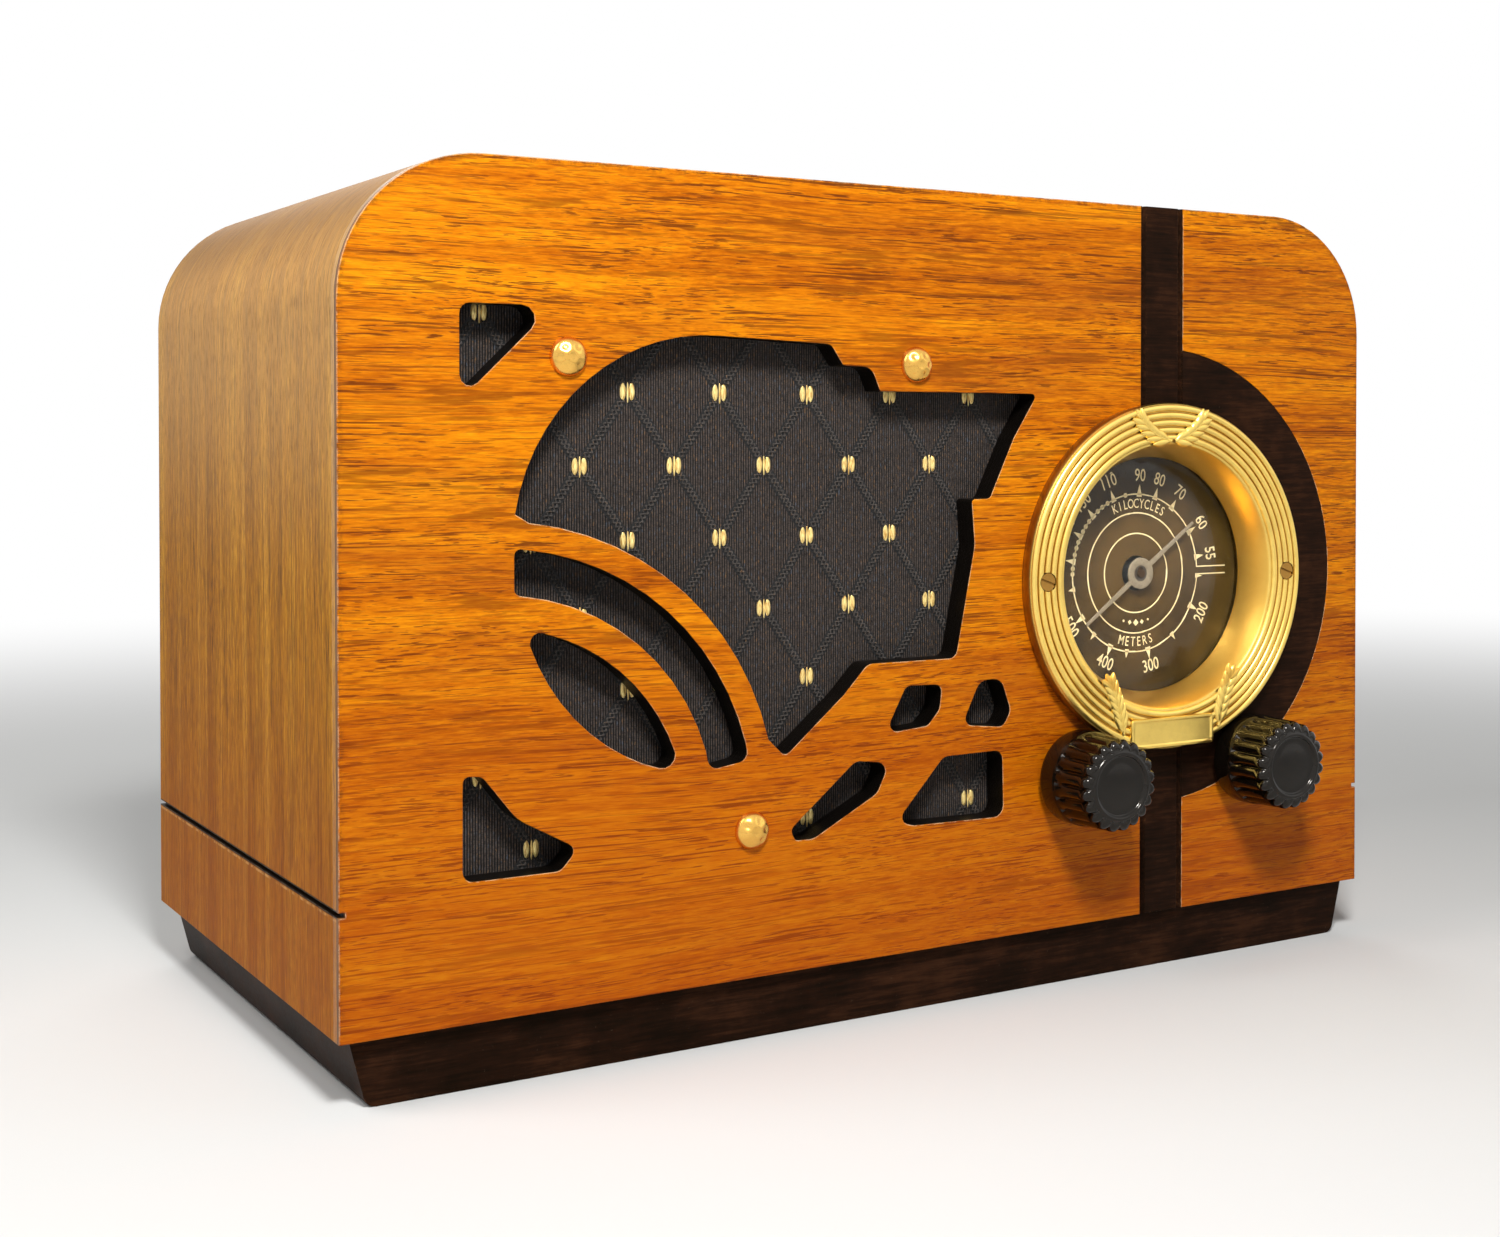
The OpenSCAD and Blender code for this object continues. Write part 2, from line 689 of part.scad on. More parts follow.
// Parts that turn with the tuning condenser
tip_r = 1.25;
pointer_y = card_y - 2.4;
pointer_t = 0.5;
hub_r = 3.8;
module pointer() {
    w0 = 0.75;
    w1 = 0.35;
    color("#c9c7c0") plate_y(pointer_y, pointer_t)
        translate([dial_x, dial_z]) rotate(pointer_rest) difference() {
            union() {
                circle(hub_r);
                for (end = [-pointer_len, pointer_len])
                    polygon([[0, -w0], [end, -w1], [end, w1], [0, w0]]);
            }
            circle(tip_r + run_gap);
        }
}
disc_hub_r = 8;
disc_hub_len = 8;
disc_hole_r = 9;
disc_hole_at = 28;
module drive_disc() {
    disc_back = disc_y + disc_t;
    hub_back = disc_back + disc_hub_len;
    color("#b9b7b0") difference() {
        union() {
            rod_y(dial_x, dial_z, disc_y, disc_back, disc_r);
            rod_y(dial_x, dial_z, disc_y, hub_back, disc_hub_r);
        }
        rod_y(dial_x, dial_z, disc_y - over, hub_back + over, shaft_r + run_gap);
        for (a = [0:120:240]) translate([dial_x, 0, dial_z]) rotate([0, a, 0])
            rod_y(disc_hole_at, 0, disc_y - over, disc_back + over, disc_hole_r);
    }
}
gang_y = apron_y + 12;
gang_end_t = 1.5;
gang_gap = 1;
gang_half = (gang_d - 3 * gang_end_t) / 2;
first_plate = (gang_half - plate_pitch * (plate_count - 1) - plate_t) / 2;
gang_starts = [gang_y + gang_end_t, gang_y + 2 * gang_end_t + gang_half];
module half_ring(r0, r1, turn) {
    translate([dial_x, dial_z]) rotate(turn) difference() {
        intersection() {
            circle(r1);
            translate([-r1, -r1]) square([2 * r1, r1]);
        }
        if (r0 > 0) circle(r0);
    }
}
rotor_hub_r = 5;
module condenser_rotor() {
    color("#c4c6c8") {
        rod_y(dial_x, dial_z, pointer_y + pointer_t, gang_y + gang_d + 3, shaft_r);
        rod_y(dial_x, dial_z, pointer_y - 0.3, pointer_y + pointer_t + over, tip_r);
        for (g = gang_starts) {
            rod_y(dial_x, dial_z, g + fit_gap, g + gang_half - fit_gap, rotor_hub_r);
            for (i = [0:plate_count - 2]) plate_y(g + first_plate + plate_pitch * (i + 0.5), plate_t)
                half_ring(0, rotor_r, pointer_rest);
        }
    }
}
module condenser_stators() {
    bar_r = 1.2;
    bar_x = 19;
    bar_z = 14;
    color("#aeb1b4") for (g = gang_starts) {
        for (i = [0:plate_count - 1])
            plate_y(g + first_plate + plate_pitch * i, plate_t) half_ring(rotor_hub_r + 1.5, stator_r, 0);
        for (side = [-1, 1]) rod_y(dial_x + side * bar_x, dial_z - bar_z, g, g + gang_half, bar_r);
    }
}
gang_w = 46;
gang_foot_h = 3;
module condenser_frame() {
    base = chassis_top + gang_foot_h;
    x0 = dial_x - gang_w / 2;
    x1 = dial_x + gang_w / 2;
    top = 9;
    foot_in = 6;
    shaft_clear = shaft_r + run_gap;
    middle_clear = rotor_hub_r + 1;
    ends = [[0, shaft_clear], [gang_end_t + gang_half, middle_clear], [gang_d - gang_end_t, shaft_clear]];
    color("#8f9294") {
        box(x0, x1, gang_y, gang_y + gang_d, base, base + gang_end_t);
        for (g = ends) plate_y(gang_y + g[0], gang_end_t) difference() {
            polygon(rounded([
                [x0, base, 0], [x1, base, 0], [x1, dial_z, 4],
                [dial_x + top, dial_z + top, 3], [dial_x - top, dial_z + top, 3], [x0, dial_z, 4]
            ]));
            translate([dial_x, dial_z]) circle(g[1]);
        }
        for (x = [x0 + foot_in, x1 - foot_in], y = [gang_y + foot_in, gang_y + gang_d - foot_in])
            rod_z(x, y, chassis_top, base + over, 4);
    }
}

// Knobs, shafts and their controls
module knob(x) {
    r = knob_d / 2;
    s0 = knob_gap;
    s1 = knob_gap + skirt_len;
    s2 = knob_reach;
    color("#0b0a09") translate([x, front_y, knob_z]) rotate([90, 0, 0]) difference() {
        rotate_extrude() polygon(concat(
            [[0, s0], [r - 0.3, s0], [r, s0 + 0.5], [r, s1], [r - 0.25, s1 + 1.2]],
            [for (i = [0:4]) [r - 2.6 + 2 * cos(22.5 * i), s2 - 2.2 + 2 * sin(22.5 * i)]],
            [[r - 3.2, s2 - 0.9], [r - 3.6, s2 - 0.1], [r - 4.1, s2], [r - 4.4, s2 - 0.9], [0, s2 - 0.6]]
        ));
        for (i = [0:flute_count - 1]) rotate([0, 0, 360 * (i + 0.5) / flute_count])
            translate([r + flute_r - 0.75, 0, s1 + 0.6]) cylinder(r = flute_r, h = knob_reach, $fn = 20);
        translate([0, 0, s0 - over]) cylinder(r = shaft_r + run_gap, h = knob_bore + over);
    }
}
module tuning_knob() {
    knob(tuning_x);
}
module volume_knob() {
    knob(volume_x);
}
shaft_tip_y = front_y - knob_gap - knob_bore + 0.5;
apron_back = apron_y + chassis_t;
bush_front = 3;
bush_len = 12;
bush_flange_t = 1.5;
bush_flange_r = bush_r + 2.5;
shaft_tail = 3;
module tuning_shaft() {
    bush_back = apron_back + bush_len;
    clip_t = 1.5;
    color("#b0b0ac") {
        rod_y(tuning_x, knob_z, shaft_tip_y, bush_back + shaft_tail, shaft_r);
        rod_y(tuning_x, knob_z, bush_back + fit_gap, bush_back + fit_gap + clip_t, shaft_r + 1.6);
    }
}
module friction_wheel() {
    mid = disc_y + disc_t / 2;
    color("#2a2624") difference() {
        rod_y(tuning_x, knob_z, mid - wheel_w / 2, mid + wheel_w / 2, wheel_r);
        rod_y(tuning_x, knob_z, mid - wheel_w, mid + wheel_w, shaft_r + run_gap);
    }
}
module bush(x) {
    difference() {
        union() {
            rod_y(x, knob_z, apron_y - bush_front, apron_back + bush_len, bush_r);
            rod_y(x, knob_z, apron_back, apron_back + bush_flange_t, bush_flange_r);
        }
        rod_y(x, knob_z, apron_y - bush_front - over, apron_back + bush_len + over, shaft_r + run_gap);
    }
}
module tuning_bush() {
    color("#c8a050") bush(tuning_x);
}
pot_r = 11.5;
pot_len = 14;
pot_bore = 8;
pot_y = apron_back + bush_flange_t;
lug_w = 2;
lug_pitch = 5;
module volume_control() {
    lug_z = knob_z - pot_r;
    color("#7b7d7c") {
        difference() {
            union() {
                rod_y(volume_x, knob_z, apron_y - bush_front, pot_y + 1, bush_r);
                rod_y(volume_x, knob_z, apron_back, pot_y, bush_flange_r);
                rod_y(volume_x, knob_z, pot_y, pot_y + pot_len, pot_r);
            }
            rod_y(volume_x, knob_z, apron_y - bush_front - over, pot_y + pot_bore, shaft_r + run_gap);
        }
        for (i = [-1, 0, 1]) translate([volume_x + i * lug_pitch, 0, 0])
            box(-lug_w / 2, lug_w / 2, pot_y + 2, pot_y + 3, lug_z - 5, lug_z + 4);
    }
}
module volume_shaft() {
    color("#b0b0ac") rod_y(volume_x, knob_z, shaft_tip_y, pot_y + pot_bore - 0.5, shaft_r);
}
bush_nut_h = 2;
bush_nut_r = 7;
module bush_nuts() {
    color("silver") for (x = [tuning_x, volume_x]) difference() {
        translate([x, apron_y - bush_nut_h, knob_z]) rotate([-90, 0, 0])
            cylinder(r = bush_nut_r, h = bush_nut_h, $fn = 6);
        rod_y(x, knob_z, apron_y - bush_nut_h - over, apron_y + over, bush_r + run_gap);
    }
}

// Places on the chassis: columns from the dial axis, rows from the front apron
converter_row = 24;
filter_row = 19.5;
rectifier_row = 58;
can_row = 66;
amplifier_row = 108;
rear_row = 110;
wing_row = 112;
shield_column = -50.8;
second_can_column = -91.8;
detector_column = -130.8;
output_column = -174.8;
side_filter_column = -12.8;
transformer_column = 32.2;
rectifier_column = 41.5;
filter_column = 42.7;
function place(column, row) = [dial_x + column, apron_y + row];
converter_at = place(shield_column, converter_row);
first_can_at = place(shield_column, can_row);
amplifier_at = place(shield_column, amplifier_row);
second_can_at = place(second_can_column, rear_row);
detector_at = place(detector_column, wing_row);
output_at = place(output_column, wing_row);
rectifier_at = place(rectifier_column, rectifier_row);
filter_at = place(filter_column, filter_row);
side_filter_at = place(side_filter_column, rear_row);
transformer_at = place(transformer_column, rear_row);
tubes = [converter_at, amplifier_at, detector_at, output_at, rectifier_at];
cans = [first_can_at, second_can_at];

// Chassis outline, drawn in by a distance all round
module chassis_outline(t) {
    polygon([
        [chassis_x0 + t, apron_y + t], [chassis_x1 - t, apron_y + t], [chassis_x1 - t, rear_apron_y - t],
        [wing_x + t, rear_apron_y - t], [wing_x + t, wing_y + t], [chassis_x0 + t, wing_y + t]
    ]);
}
cord_z = floor_z + 16;
cord_x = dial_x + 20;
grommet_neck_r = 5.5;
can_hole_r = 9;
module chassis() {
    under_top = chassis_top - 2 * chassis_t;
    tab = tab_w / 2 + 0.5;
    color("#a7a9a6") {
        difference() {
            translate([0, 0, floor_z]) linear_extrude(chassis_h) chassis_outline(0);
            translate([0, 0, floor_z - over]) linear_extrude(chassis_h - chassis_t + over)
                chassis_outline(chassis_t);
            for (x = [tuning_x, volume_x])
                rod_y(x, knob_z, apron_y - over, apron_back + over, bush_r + run_gap);
            for (p = tubes) rod_z(p[0], p[1], under_top, chassis_top + over, tube_base_r + 1);
            for (p = cans) rod_z(p[0], p[1], under_top, chassis_top + over, can_hole_r);
            rod_y(cord_x, cord_z, rear_apron_y - 2 * chassis_t, rear_apron_y + over, grommet_neck_r);
        }
        for (p = bolt_places) difference() {
            translate([p[0], p[1], 0]) box(-tab, tab, -tab, tab, floor_z, floor_z + chassis_t);
            rod_z(p[0], p[1], floor_z - over, floor_z + 2 * chassis_t, bolt_r + run_gap);
        }
    }
}
module chassis_fasteners() {
    nut_z = floor_z + chassis_t;
    color("#8c8c88") for (p = bolt_places) translate([p[0], p[1], 0]) {
        rod_z(0, 0, head_recess - over, nut_z + nut_h + bolt_tail, bolt_r);
        rod_z(0, 0, head_recess - head_h, head_recess, head_r);
        difference() {
            translate([0, 0, nut_z]) cylinder(r = nut_r, h = nut_h, $fn = 6);
            rod_z(0, 0, nut_z - over, nut_z + nut_h + over, bolt_r + run_gap);
        }
    }
}

// Tubes
socket_t = 2.4;
seat_z = chassis_top - chassis_t;
neck_r = 13;
neck_in = 5;
glass_z = seat_z + tube_base_h - neck_in;
pin_circle_r = 8.5;
pin_r = 1.2;
pin_len = 11;
module tube_pins(p, r, z0, z1) {
    for (a = [30:60:330]) translate(polar(pin_circle_r, a)) rod_z(p[0], p[1], z0, z1, r);
}
module tube_bases() {
    color("#1d1715") for (p = tubes) {
        difference() {
            rod_z(p[0], p[1], seat_z, seat_z + tube_base_h, tube_base_r);
            rod_z(p[0], p[1], glass_z, glass_z + 2 * neck_in, neck_r + fit_gap);
        }
        tube_pins(p, pin_r, seat_z - pin_len, seat_z + over);
    }
}
module tube_sockets() {
    color("#6b4a2b") for (p = tubes) difference() {
        rod_z(p[0], p[1], seat_z - socket_t, seat_z, tube_base_r + 1.3);
        tube_pins(p, pin_r + 0.2, seat_z - socket_t - over, seat_z + over);
    }
}
// Half outline of a shouldered bulb: straight neck, full waist and narrower dome
function bulb_side(r, h, t) = concat(
    [[0, t], [neck_r - t, t], [neck_r - t, 0.16 * h]],
    [for (i = [1:5]) [neck_r - t + (r - neck_r) * (1 - cos(36 * i)) / 2, h * (0.16 + 0.05 * i)]],
    [for (i = [0:4]) [r - t - (r * 0.32) * (1 - cos(45 * i)) / 2, h * (0.52 + 0.045 * i)]],
    [for (i = [0:5]) [(r * 0.68 - t) * cos(18 * i), h - r * 0.68 + (r * 0.68 - t) * sin(18 * i)]]
);
module bulb(p, r, h) {
    color([0.8, 0.85, 0.9, 0.35]) translate([p[0], p[1], glass_z]) rotate_extrude() difference() {
        polygon(bulb_side(r, h, 0));
        polygon(bulb_side(r, h, bulb_t));
    }
}
module converter_tube() {
    bulb(converter_at, bulb_r, bulb_h);
}
module amplifier_tube() {
    bulb(amplifier_at, bulb_r, bulb_h);
}
module detector_tube() {
    bulb(detector_at, bulb_r, bulb_h);
}
module output_tube() {
    bulb(output_at, big_bulb_r, big_bulb_h);
}
module rectifier_tube() {
    bulb(rectifier_at, bulb_r, bulb_h);
}
stem_h = 16;
plate_h0 = 30;
spacer_t = 1.5;
spacer_r = 11.5;
stem_r = 5;
anode_r = 8.5;
side_rod_at = 10;
side_rod_r = 0.8;
side_rod_up = 4;
module tube_electrodes() {
    foot = glass_z + bulb_t;
    low = foot + stem_h;
    high = low + plate_h0;
    color("#3c3c3e") for (p = tubes) {
        rod_z(p[0], p[1], foot, low + over, stem_r);
        rod_z(p[0], p[1], low, low + spacer_t, spacer_r);
        rod_z(p[0], p[1], low + over, high + over, anode_r);
        rod_z(p[0], p[1], high, high + spacer_t, spacer_r);
        for (side = [-1, 1])
            rod_z(p[0] + side * side_rod_at, p[1], low + over, high + side_rod_up, side_rod_r);
    }
}
can_t = 0.6;
module tube_shields() {
    top = chassis_top + shield_h;
    color("#b4b6b5") for (p = [converter_at, amplifier_at]) difference() {
        rod_z(p[0], p[1], chassis_top, top, shield_r);
        rod_z(p[0], p[1], chassis_top - over, top - can_t, shield_r - can_t);
        rod_z(p[0], p[1], chassis_top, top + over, 2 * cap_r);
    }
}
cap_r = 5;
cap_h = 9;
wire_r = 1.1;
// Cap on a tube with a lead that runs out along an angle, bends and drops
module grid_lead(p, turn, reach, z_end) {
    cap_z = glass_z + bulb_h;
    run_z = cap_z + cap_h - wire_r;
    bend = 6;
    color("#8d2f22") translate([p[0], p[1], 0]) rotate([0, 0, turn]) {
        translate([0, 0, run_z]) rotate([0, 90, 0]) cylinder(r = wire_r, h = reach - bend, $fn = 20);
        translate([reach - bend, 0, run_z - bend]) rotate([90, 0, 0])
            rotate_extrude(angle = 90, $fn = 48) translate([bend, 0]) circle(wire_r, $fn = 20);
        rod_z(reach, 0, z_end, run_z - bend, wire_r);
        rod_z(0, 0, cap_z, cap_z + cap_h, cap_r);
    }
}
lead_clear = 1.8;
lead_on_can = 8;
module grid_leads() {
    grid_lead(converter_at, 0, shield_r + lead_clear, chassis_top);
    grid_lead(amplifier_at, -90, amplifier_row - can_row - lead_on_can, chassis_top + can_h);
    grid_lead(detector_at, 90, bulb_r + lead_clear + wire_r, chassis_top);
}
// Rectangle with round corners, from half its width and half its depth
function round_box(w, d, r) = rounded([[-w, -d, r], [w, -d, r], [w, d, r], [-w, d, r]]);
module coil_cans() {
    half = can_w / 2;
    edge_r = 3;
    trimmer_r = 2;
    color("#c2c4c3") for (p = cans) translate([p[0], p[1], chassis_top]) difference() {
        linear_extrude(can_h) polygon(round_box(half, half, edge_r));
        translate([0, 0, -over]) linear_extrude(can_h - can_t + over)
            polygon(round_box(half - can_t, half - can_t, edge_r - can_t));
        rod_z(0, 0, can_h - 2, can_h + over, trimmer_r);
    }
}
module coil_formers() {
    coil_w = 9;
    color("#b98b4e") for (p = cans) translate([p[0], p[1], chassis_top]) {
        rod_z(0, 0, -6, can_h - 12, 6);
        for (z = [14, 38]) rod_z(0, 0, z, z + coil_w, 11);
        rod_z(0, 0, 0, 1.2, can_hole_r + 4);
    }
}
module filter_can(at, r, h) {
    color("#b8bab9") translate([at[0], at[1], chassis_top]) rotate_extrude() polygon([
        [0, 0], [r + 1.5, 0], [r + 1.5, 2], [r, 2.4], [r, h - 6], [r - 0.8, h - 5],
        [r - 0.8, h - 3.5], [r, h - 2.5], [r - 1.5, h], [0, h]
    ]);
}
filter_r = 15;
filter_h = 80;
side_filter_r = 12.5;
side_filter_h = 62;
module filter_cans() {
    filter_can(filter_at, filter_r, filter_h);
    filter_can(side_filter_at, side_filter_r, side_filter_h);
}
core_w = 52;
core_d = 46;
core_h = 18;
core_hole_in = 4;
core_hole_r = 1.8;
winding_w = 10;
winding_d = core_d - 20;
coil_h = 22;
cover_h = 30;
cover_in = 3;
cover_t = 0.9;
module at_transformer(z) {
    translate([transformer_at[0], transformer_at[1], chassis_top + z]) children();
}
module core_holes(h) {
    x = core_w / 2 - core_hole_in;
    y = core_d / 2 - core_hole_in;
    for (i = [-1, 1], j = [-1, 1]) rod_z(i * x, j * y, -over, h + over, core_hole_r);
}
// The two windows of the core, drawn in by a gap
module windings(gap) {
    for (side = [-1, 1]) translate([side * (core_w / 4 - 0.5), 0])
        square([winding_w - 2 * gap, winding_d - 2 * gap], center = true);
}
module transformer_core() {
    color("#4b4843") at_transformer(0) difference() {
        linear_extrude(core_h) square([core_w, core_d], center = true);
        translate([0, 0, -over]) linear_extrude(core_h + 2 * over) windings(0);
        core_holes(core_h);
    }
}
module transformer_coil() {
    color("#caa36a") at_transformer(0) {
        linear_extrude(core_h + coil_h) windings(fit_gap);
        translate([0, 0, core_h + fit_gap]) linear_extrude(coil_h - fit_gap)
            square([core_w - 16, core_d - 14], center = true);
    }
}
module transformer_cover() {
    w = core_w / 2 - cover_in;
    d = core_d / 2 - cover_in;
    color("#1b1a19") at_transformer(core_h) difference() {
        union() {
            linear_extrude(1.2) square([core_w, core_d], center = true);
            linear_extrude(cover_h) polygon(round_box(w, d, 6));
        }
        translate([0, 0, -over]) linear_extrude(cover_h - cover_t + over)
            polygon(round_box(w - cover_t, d - cover_t, 5));
        core_holes(1.2);
    }
}

// Speaker, drawn by radius and depth behind the board
module speaker_turned() {
    turned_y(speaker_x, speaker_z, board_back) children();
}
rim_in = cone_r + 4.5;
rim_out = rim_in + 4.5;
rim_step = 0.7;
frame_neck_r = 33;
frame_seat_r = coil_r + 8;
module speaker_frame() {
    window_at = [44, board_back + 19, 0];
    window = [30, 17, 24];
    color("#3a3a3a") difference() {
        speaker_turned() polygon([
            [rim_in, rim_step], [rim_out, rim_step], [rim_out, 0], [frame_r, 0],
            [frame_r, flange_t], [bolt_circle_r - 5, flange_t], [rim_out + 1, flange_t + rim_step],
            [frame_neck_r + 1.4, frame_depth], [frame_seat_r, frame_depth],
            [frame_seat_r, frame_depth - flange_t], [frame_neck_r, frame_depth - flange_t],
            [rim_out - 1, flange_t + rim_step], [rim_in, flange_t + rim_step]
        ]);
        translate([speaker_x, 0, speaker_z]) for (a = [0:60:300]) rotate([0, a, 0])
            translate(window_at) rotate([0, 0, 40]) cube(window, center = true);
        plate_y(board_back - over, 4) bolt_circle(panel_bolt_r + run_gap);
    }
}
module cone_surround() {
    wave = 0.6;
    r0 = cone_r + voice_gap;
    out = rim_out - 0.2;
    color("#2b2520") speaker_turned() polygon(concat(
        [[r0, 0.4], [rim_in, 0.1], [out, 0.1], [out, rim_step - 0.05], [rim_in, rim_step - 0.05]],
        [for (i = [5:-1:0]) [r0 + (rim_in - r0) * i / 6, 1 + wave * (i % 2)]]
    ));
}
cone_neck_s = 25;
module speaker_cone() {
    color("#3b322a") speaker_turned() polygon([
        [cone_r, 1.2], [cone_r, 2.2], [coil_r + 0.6, cone_neck_s + 1], [coil_r + 0.35, cone_neck_s + 3],
        [coil_r + 0.35, cone_neck_s]
    ]);
}
tube_half_t = 0.3;
coil_outer_r = coil_r + tube_half_t + voice_gap;
coil_inner_r = coil_r - tube_half_t - voice_gap;
module voice_coil() {
    cap_t = 0.6;
    color("#a8552c") speaker_turned() {
        translate([coil_r - tube_half_t, cone_neck_s])
            square([2 * tube_half_t, frame_depth + 4 - cone_neck_s]);
        translate([0, cone_neck_s - cap_t]) square([coil_r + tube_half_t, cap_t]);
    }
}
module spider() {
    seat = frame_depth - flange_t - 0.05;
    color("#6d5334") speaker_turned() polygon([
        [coil_outer_r, cone_neck_s + 5.2], [coil_r + 10, seat - 0.55], [coil_r + 12, seat - 0.55],
        [coil_r + 12, seat], [coil_r + 9, seat], [coil_outer_r, cone_neck_s + 5.9]
    ]);
}
plate_s = frame_depth;
yoke_t = 5;
yoke_w = 30;
yoke_half = field_r + 1 + yoke_t;
module magnet_yoke() {
    back_s = plate_s + yoke_t + field_len + 1;
    plate_out_r = field_r + 3.7;
    color("#5a5c5e") {
        speaker_turned() {
            translate([coil_outer_r, plate_s]) square([plate_out_r - coil_outer_r, yoke_t]);
            translate([0, plate_s + 0.4]) square([coil_inner_r, back_s - plate_s + 1]);
        }
        translate([speaker_x, board_back, speaker_z]) {
            box(-yoke_w / 2, yoke_w / 2, back_s, back_s + yoke_t, -yoke_half, yoke_half);
            for (side = [-1, 1]) translate([0, 0, side * (yoke_half - yoke_t / 2)])
                box(-yoke_w / 2, yoke_w / 2, plate_s + 1, back_s + 1, -yoke_t / 2, yoke_t / 2);
        }
    }
}
module field_coil() {
    bobbin_t = 1.2;
    wound = field_len - 2 * fit_gap;
    translate([0, plate_s + yoke_t, 0]) color("#b5833f") speaker_turned() difference() {
        union() {
            translate([0, fit_gap]) square([field_r - 1.5, wound]);
            for (s = [fit_gap, fit_gap + wound - bobbin_t]) translate([0, s]) square([field_r, bobbin_t]);
        }
        translate([-1, -over]) square([coil_inner_r + fit_gap + 1, 2 * field_len]);
    }
}
module output_transformer() {
    half_w = 18;
    depth = 16;
    h = 28;
    window_w = 11;
    wound_w = window_w - fit_gap;
    limb = 4;
    coil_out = 6;
    translate([speaker_x, board_back + plate_s + 8, speaker_z + yoke_half]) {
        color("#4b4843") difference() {
            box(-half_w, half_w, 0, depth, 0, h);
            box(-window_w, window_w, -over, depth + over, 6, 22);
        }
        color("#caa36a") difference() {
            box(-wound_w, wound_w, -coil_out, depth + coil_out, 6 + fit_gap, 22 - fit_gap);
            box(-limb - fit_gap, limb + fit_gap, -coil_out - over, depth + coil_out + over, 8, 20);
        }
        color("#4b4843") box(-limb, limb, 0, depth, 8.2, 19.8);
    }
}
cord_hole_r = 3.5;
module cord_grommet() {
    flange_r = 8;
    neck = grommet_neck_r - run_gap;
    color("#1b1b1b") turned_y(cord_x, cord_z, rear_apron_y - chassis_t) polygon([
        [cord_hole_r, -1.8], [flange_r, -1.8], [flange_r, -run_gap], [neck, -run_gap],
        [neck, chassis_t + run_gap], [flange_r, chassis_t + run_gap],
        [flange_r - 0.6, chassis_t + 2.2], [cord_hole_r, chassis_t + 2.6]
    ]);
}
module aerial_terminals() {
    x0 = dial_x - 60;
    z0 = floor_z + 14;
    strip_w = 40;
    strip_h = 14;
    strip_back = rear_apron_y + 1.6;
    color("#5e3a20")
        box(x0 - strip_w / 2, x0 + strip_w / 2, rear_apron_y, strip_back, z0, z0 + strip_h);
    color("silver") for (x = [x0 - strip_w / 4, x0 + strip_w / 4]) {
        rod_y(x, z0 + strip_h / 2, strip_back, strip_back + 0.6, 4);
        rod_y(x, z0 + strip_h / 2, strip_back + 0.6, strip_back + 3.6, 3);
    }
}
module small_components() {
    x0 = dial_x - 38;
    y0 = apron_y + 54;
    z0 = floor_z + 24;
    strip_len = 60;
    strip_d = 14;
    strip_t = 1.6;
    paper_r = 5;
    paper_len = 22;
    color("#7a5a35") {
        box(x0, x0 + strip_len, y0, y0 + strip_d, z0, z0 + strip_t);
        for (x = [x0 + 1, x0 + strip_len - 3]) box(x, x + 2, y0 + 4, y0 + 10, z0 + 1, seat_z);
    }
    color("#c9a878") for (x = [x0 + 6, x0 + 32])
        translate([x, y0 + strip_d / 2, z0 + strip_t + 0.05 + paper_r])
            rotate([0, 90, 0]) cylinder(r = paper_r, h = paper_len);
}

base_board();
floor_board();
cabinet_shell();
front_panel();
centre_stripe();
dial_crescent();
glue_blocks();
speaker_board();
grille_cloth();
panel_bolts();
panel_nuts();
dial_bezel();
bezel_screws();
dial_glass();
dial_card();
dial_bracket();
lamp_socket();
pilot_lamp();
pointer();
drive_disc();
condenser_rotor();
condenser_frame();
condenser_stators();
tuning_knob();
tuning_shaft();
friction_wheel();
tuning_bush();
volume_knob();
volume_shaft();
volume_control();
bush_nuts();
chassis();
chassis_fasteners();
converter_tube();
amplifier_tube();
detector_tube();
output_tube();
rectifier_tube();
tube_bases();
tube_electrodes();
tube_sockets();
tube_shields();
grid_leads();
coil_cans();
coil_formers();
filter_cans();
transformer_core();
transformer_coil();
transformer_cover();
speaker_frame();
speaker_cone();
cone_surround();
voice_coil();
spider();
field_coil();
magnet_yoke();
output_transformer();
cord_grommet();
aerial_terminals();
small_components();
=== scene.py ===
"""Looks of a wooden tube radio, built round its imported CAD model.

Lengths are in millimetres, apart from those of the camera and the lamps, which are in metres.
"""
import json
from math import copysign, cos, exp, pi, radians, sin, sqrt

import bmesh
import bpy
from mathutils import Matrix, Vector


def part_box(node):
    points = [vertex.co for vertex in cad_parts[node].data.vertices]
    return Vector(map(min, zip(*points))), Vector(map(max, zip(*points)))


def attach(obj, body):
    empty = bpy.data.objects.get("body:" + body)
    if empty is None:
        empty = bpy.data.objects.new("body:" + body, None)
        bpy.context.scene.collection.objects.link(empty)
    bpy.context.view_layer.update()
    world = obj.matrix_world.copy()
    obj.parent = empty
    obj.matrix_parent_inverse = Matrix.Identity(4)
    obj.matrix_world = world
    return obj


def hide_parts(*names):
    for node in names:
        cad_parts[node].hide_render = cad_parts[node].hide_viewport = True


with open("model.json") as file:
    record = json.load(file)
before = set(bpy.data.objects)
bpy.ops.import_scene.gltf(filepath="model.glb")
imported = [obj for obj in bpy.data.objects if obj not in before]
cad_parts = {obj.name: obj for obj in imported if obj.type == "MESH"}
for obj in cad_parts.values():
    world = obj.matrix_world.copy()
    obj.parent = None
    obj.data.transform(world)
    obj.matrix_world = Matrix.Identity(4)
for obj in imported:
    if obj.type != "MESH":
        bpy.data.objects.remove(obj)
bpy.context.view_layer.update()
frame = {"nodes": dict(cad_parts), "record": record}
nodes = frame["nodes"]
MM = 0.001


def node_box(name):
    """Lowest and highest corner of a CAD node."""
    low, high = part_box(name)
    return low / MM, high / MM


def middle(name):
    low, high = node_box(name)
    return (low + high) / 2


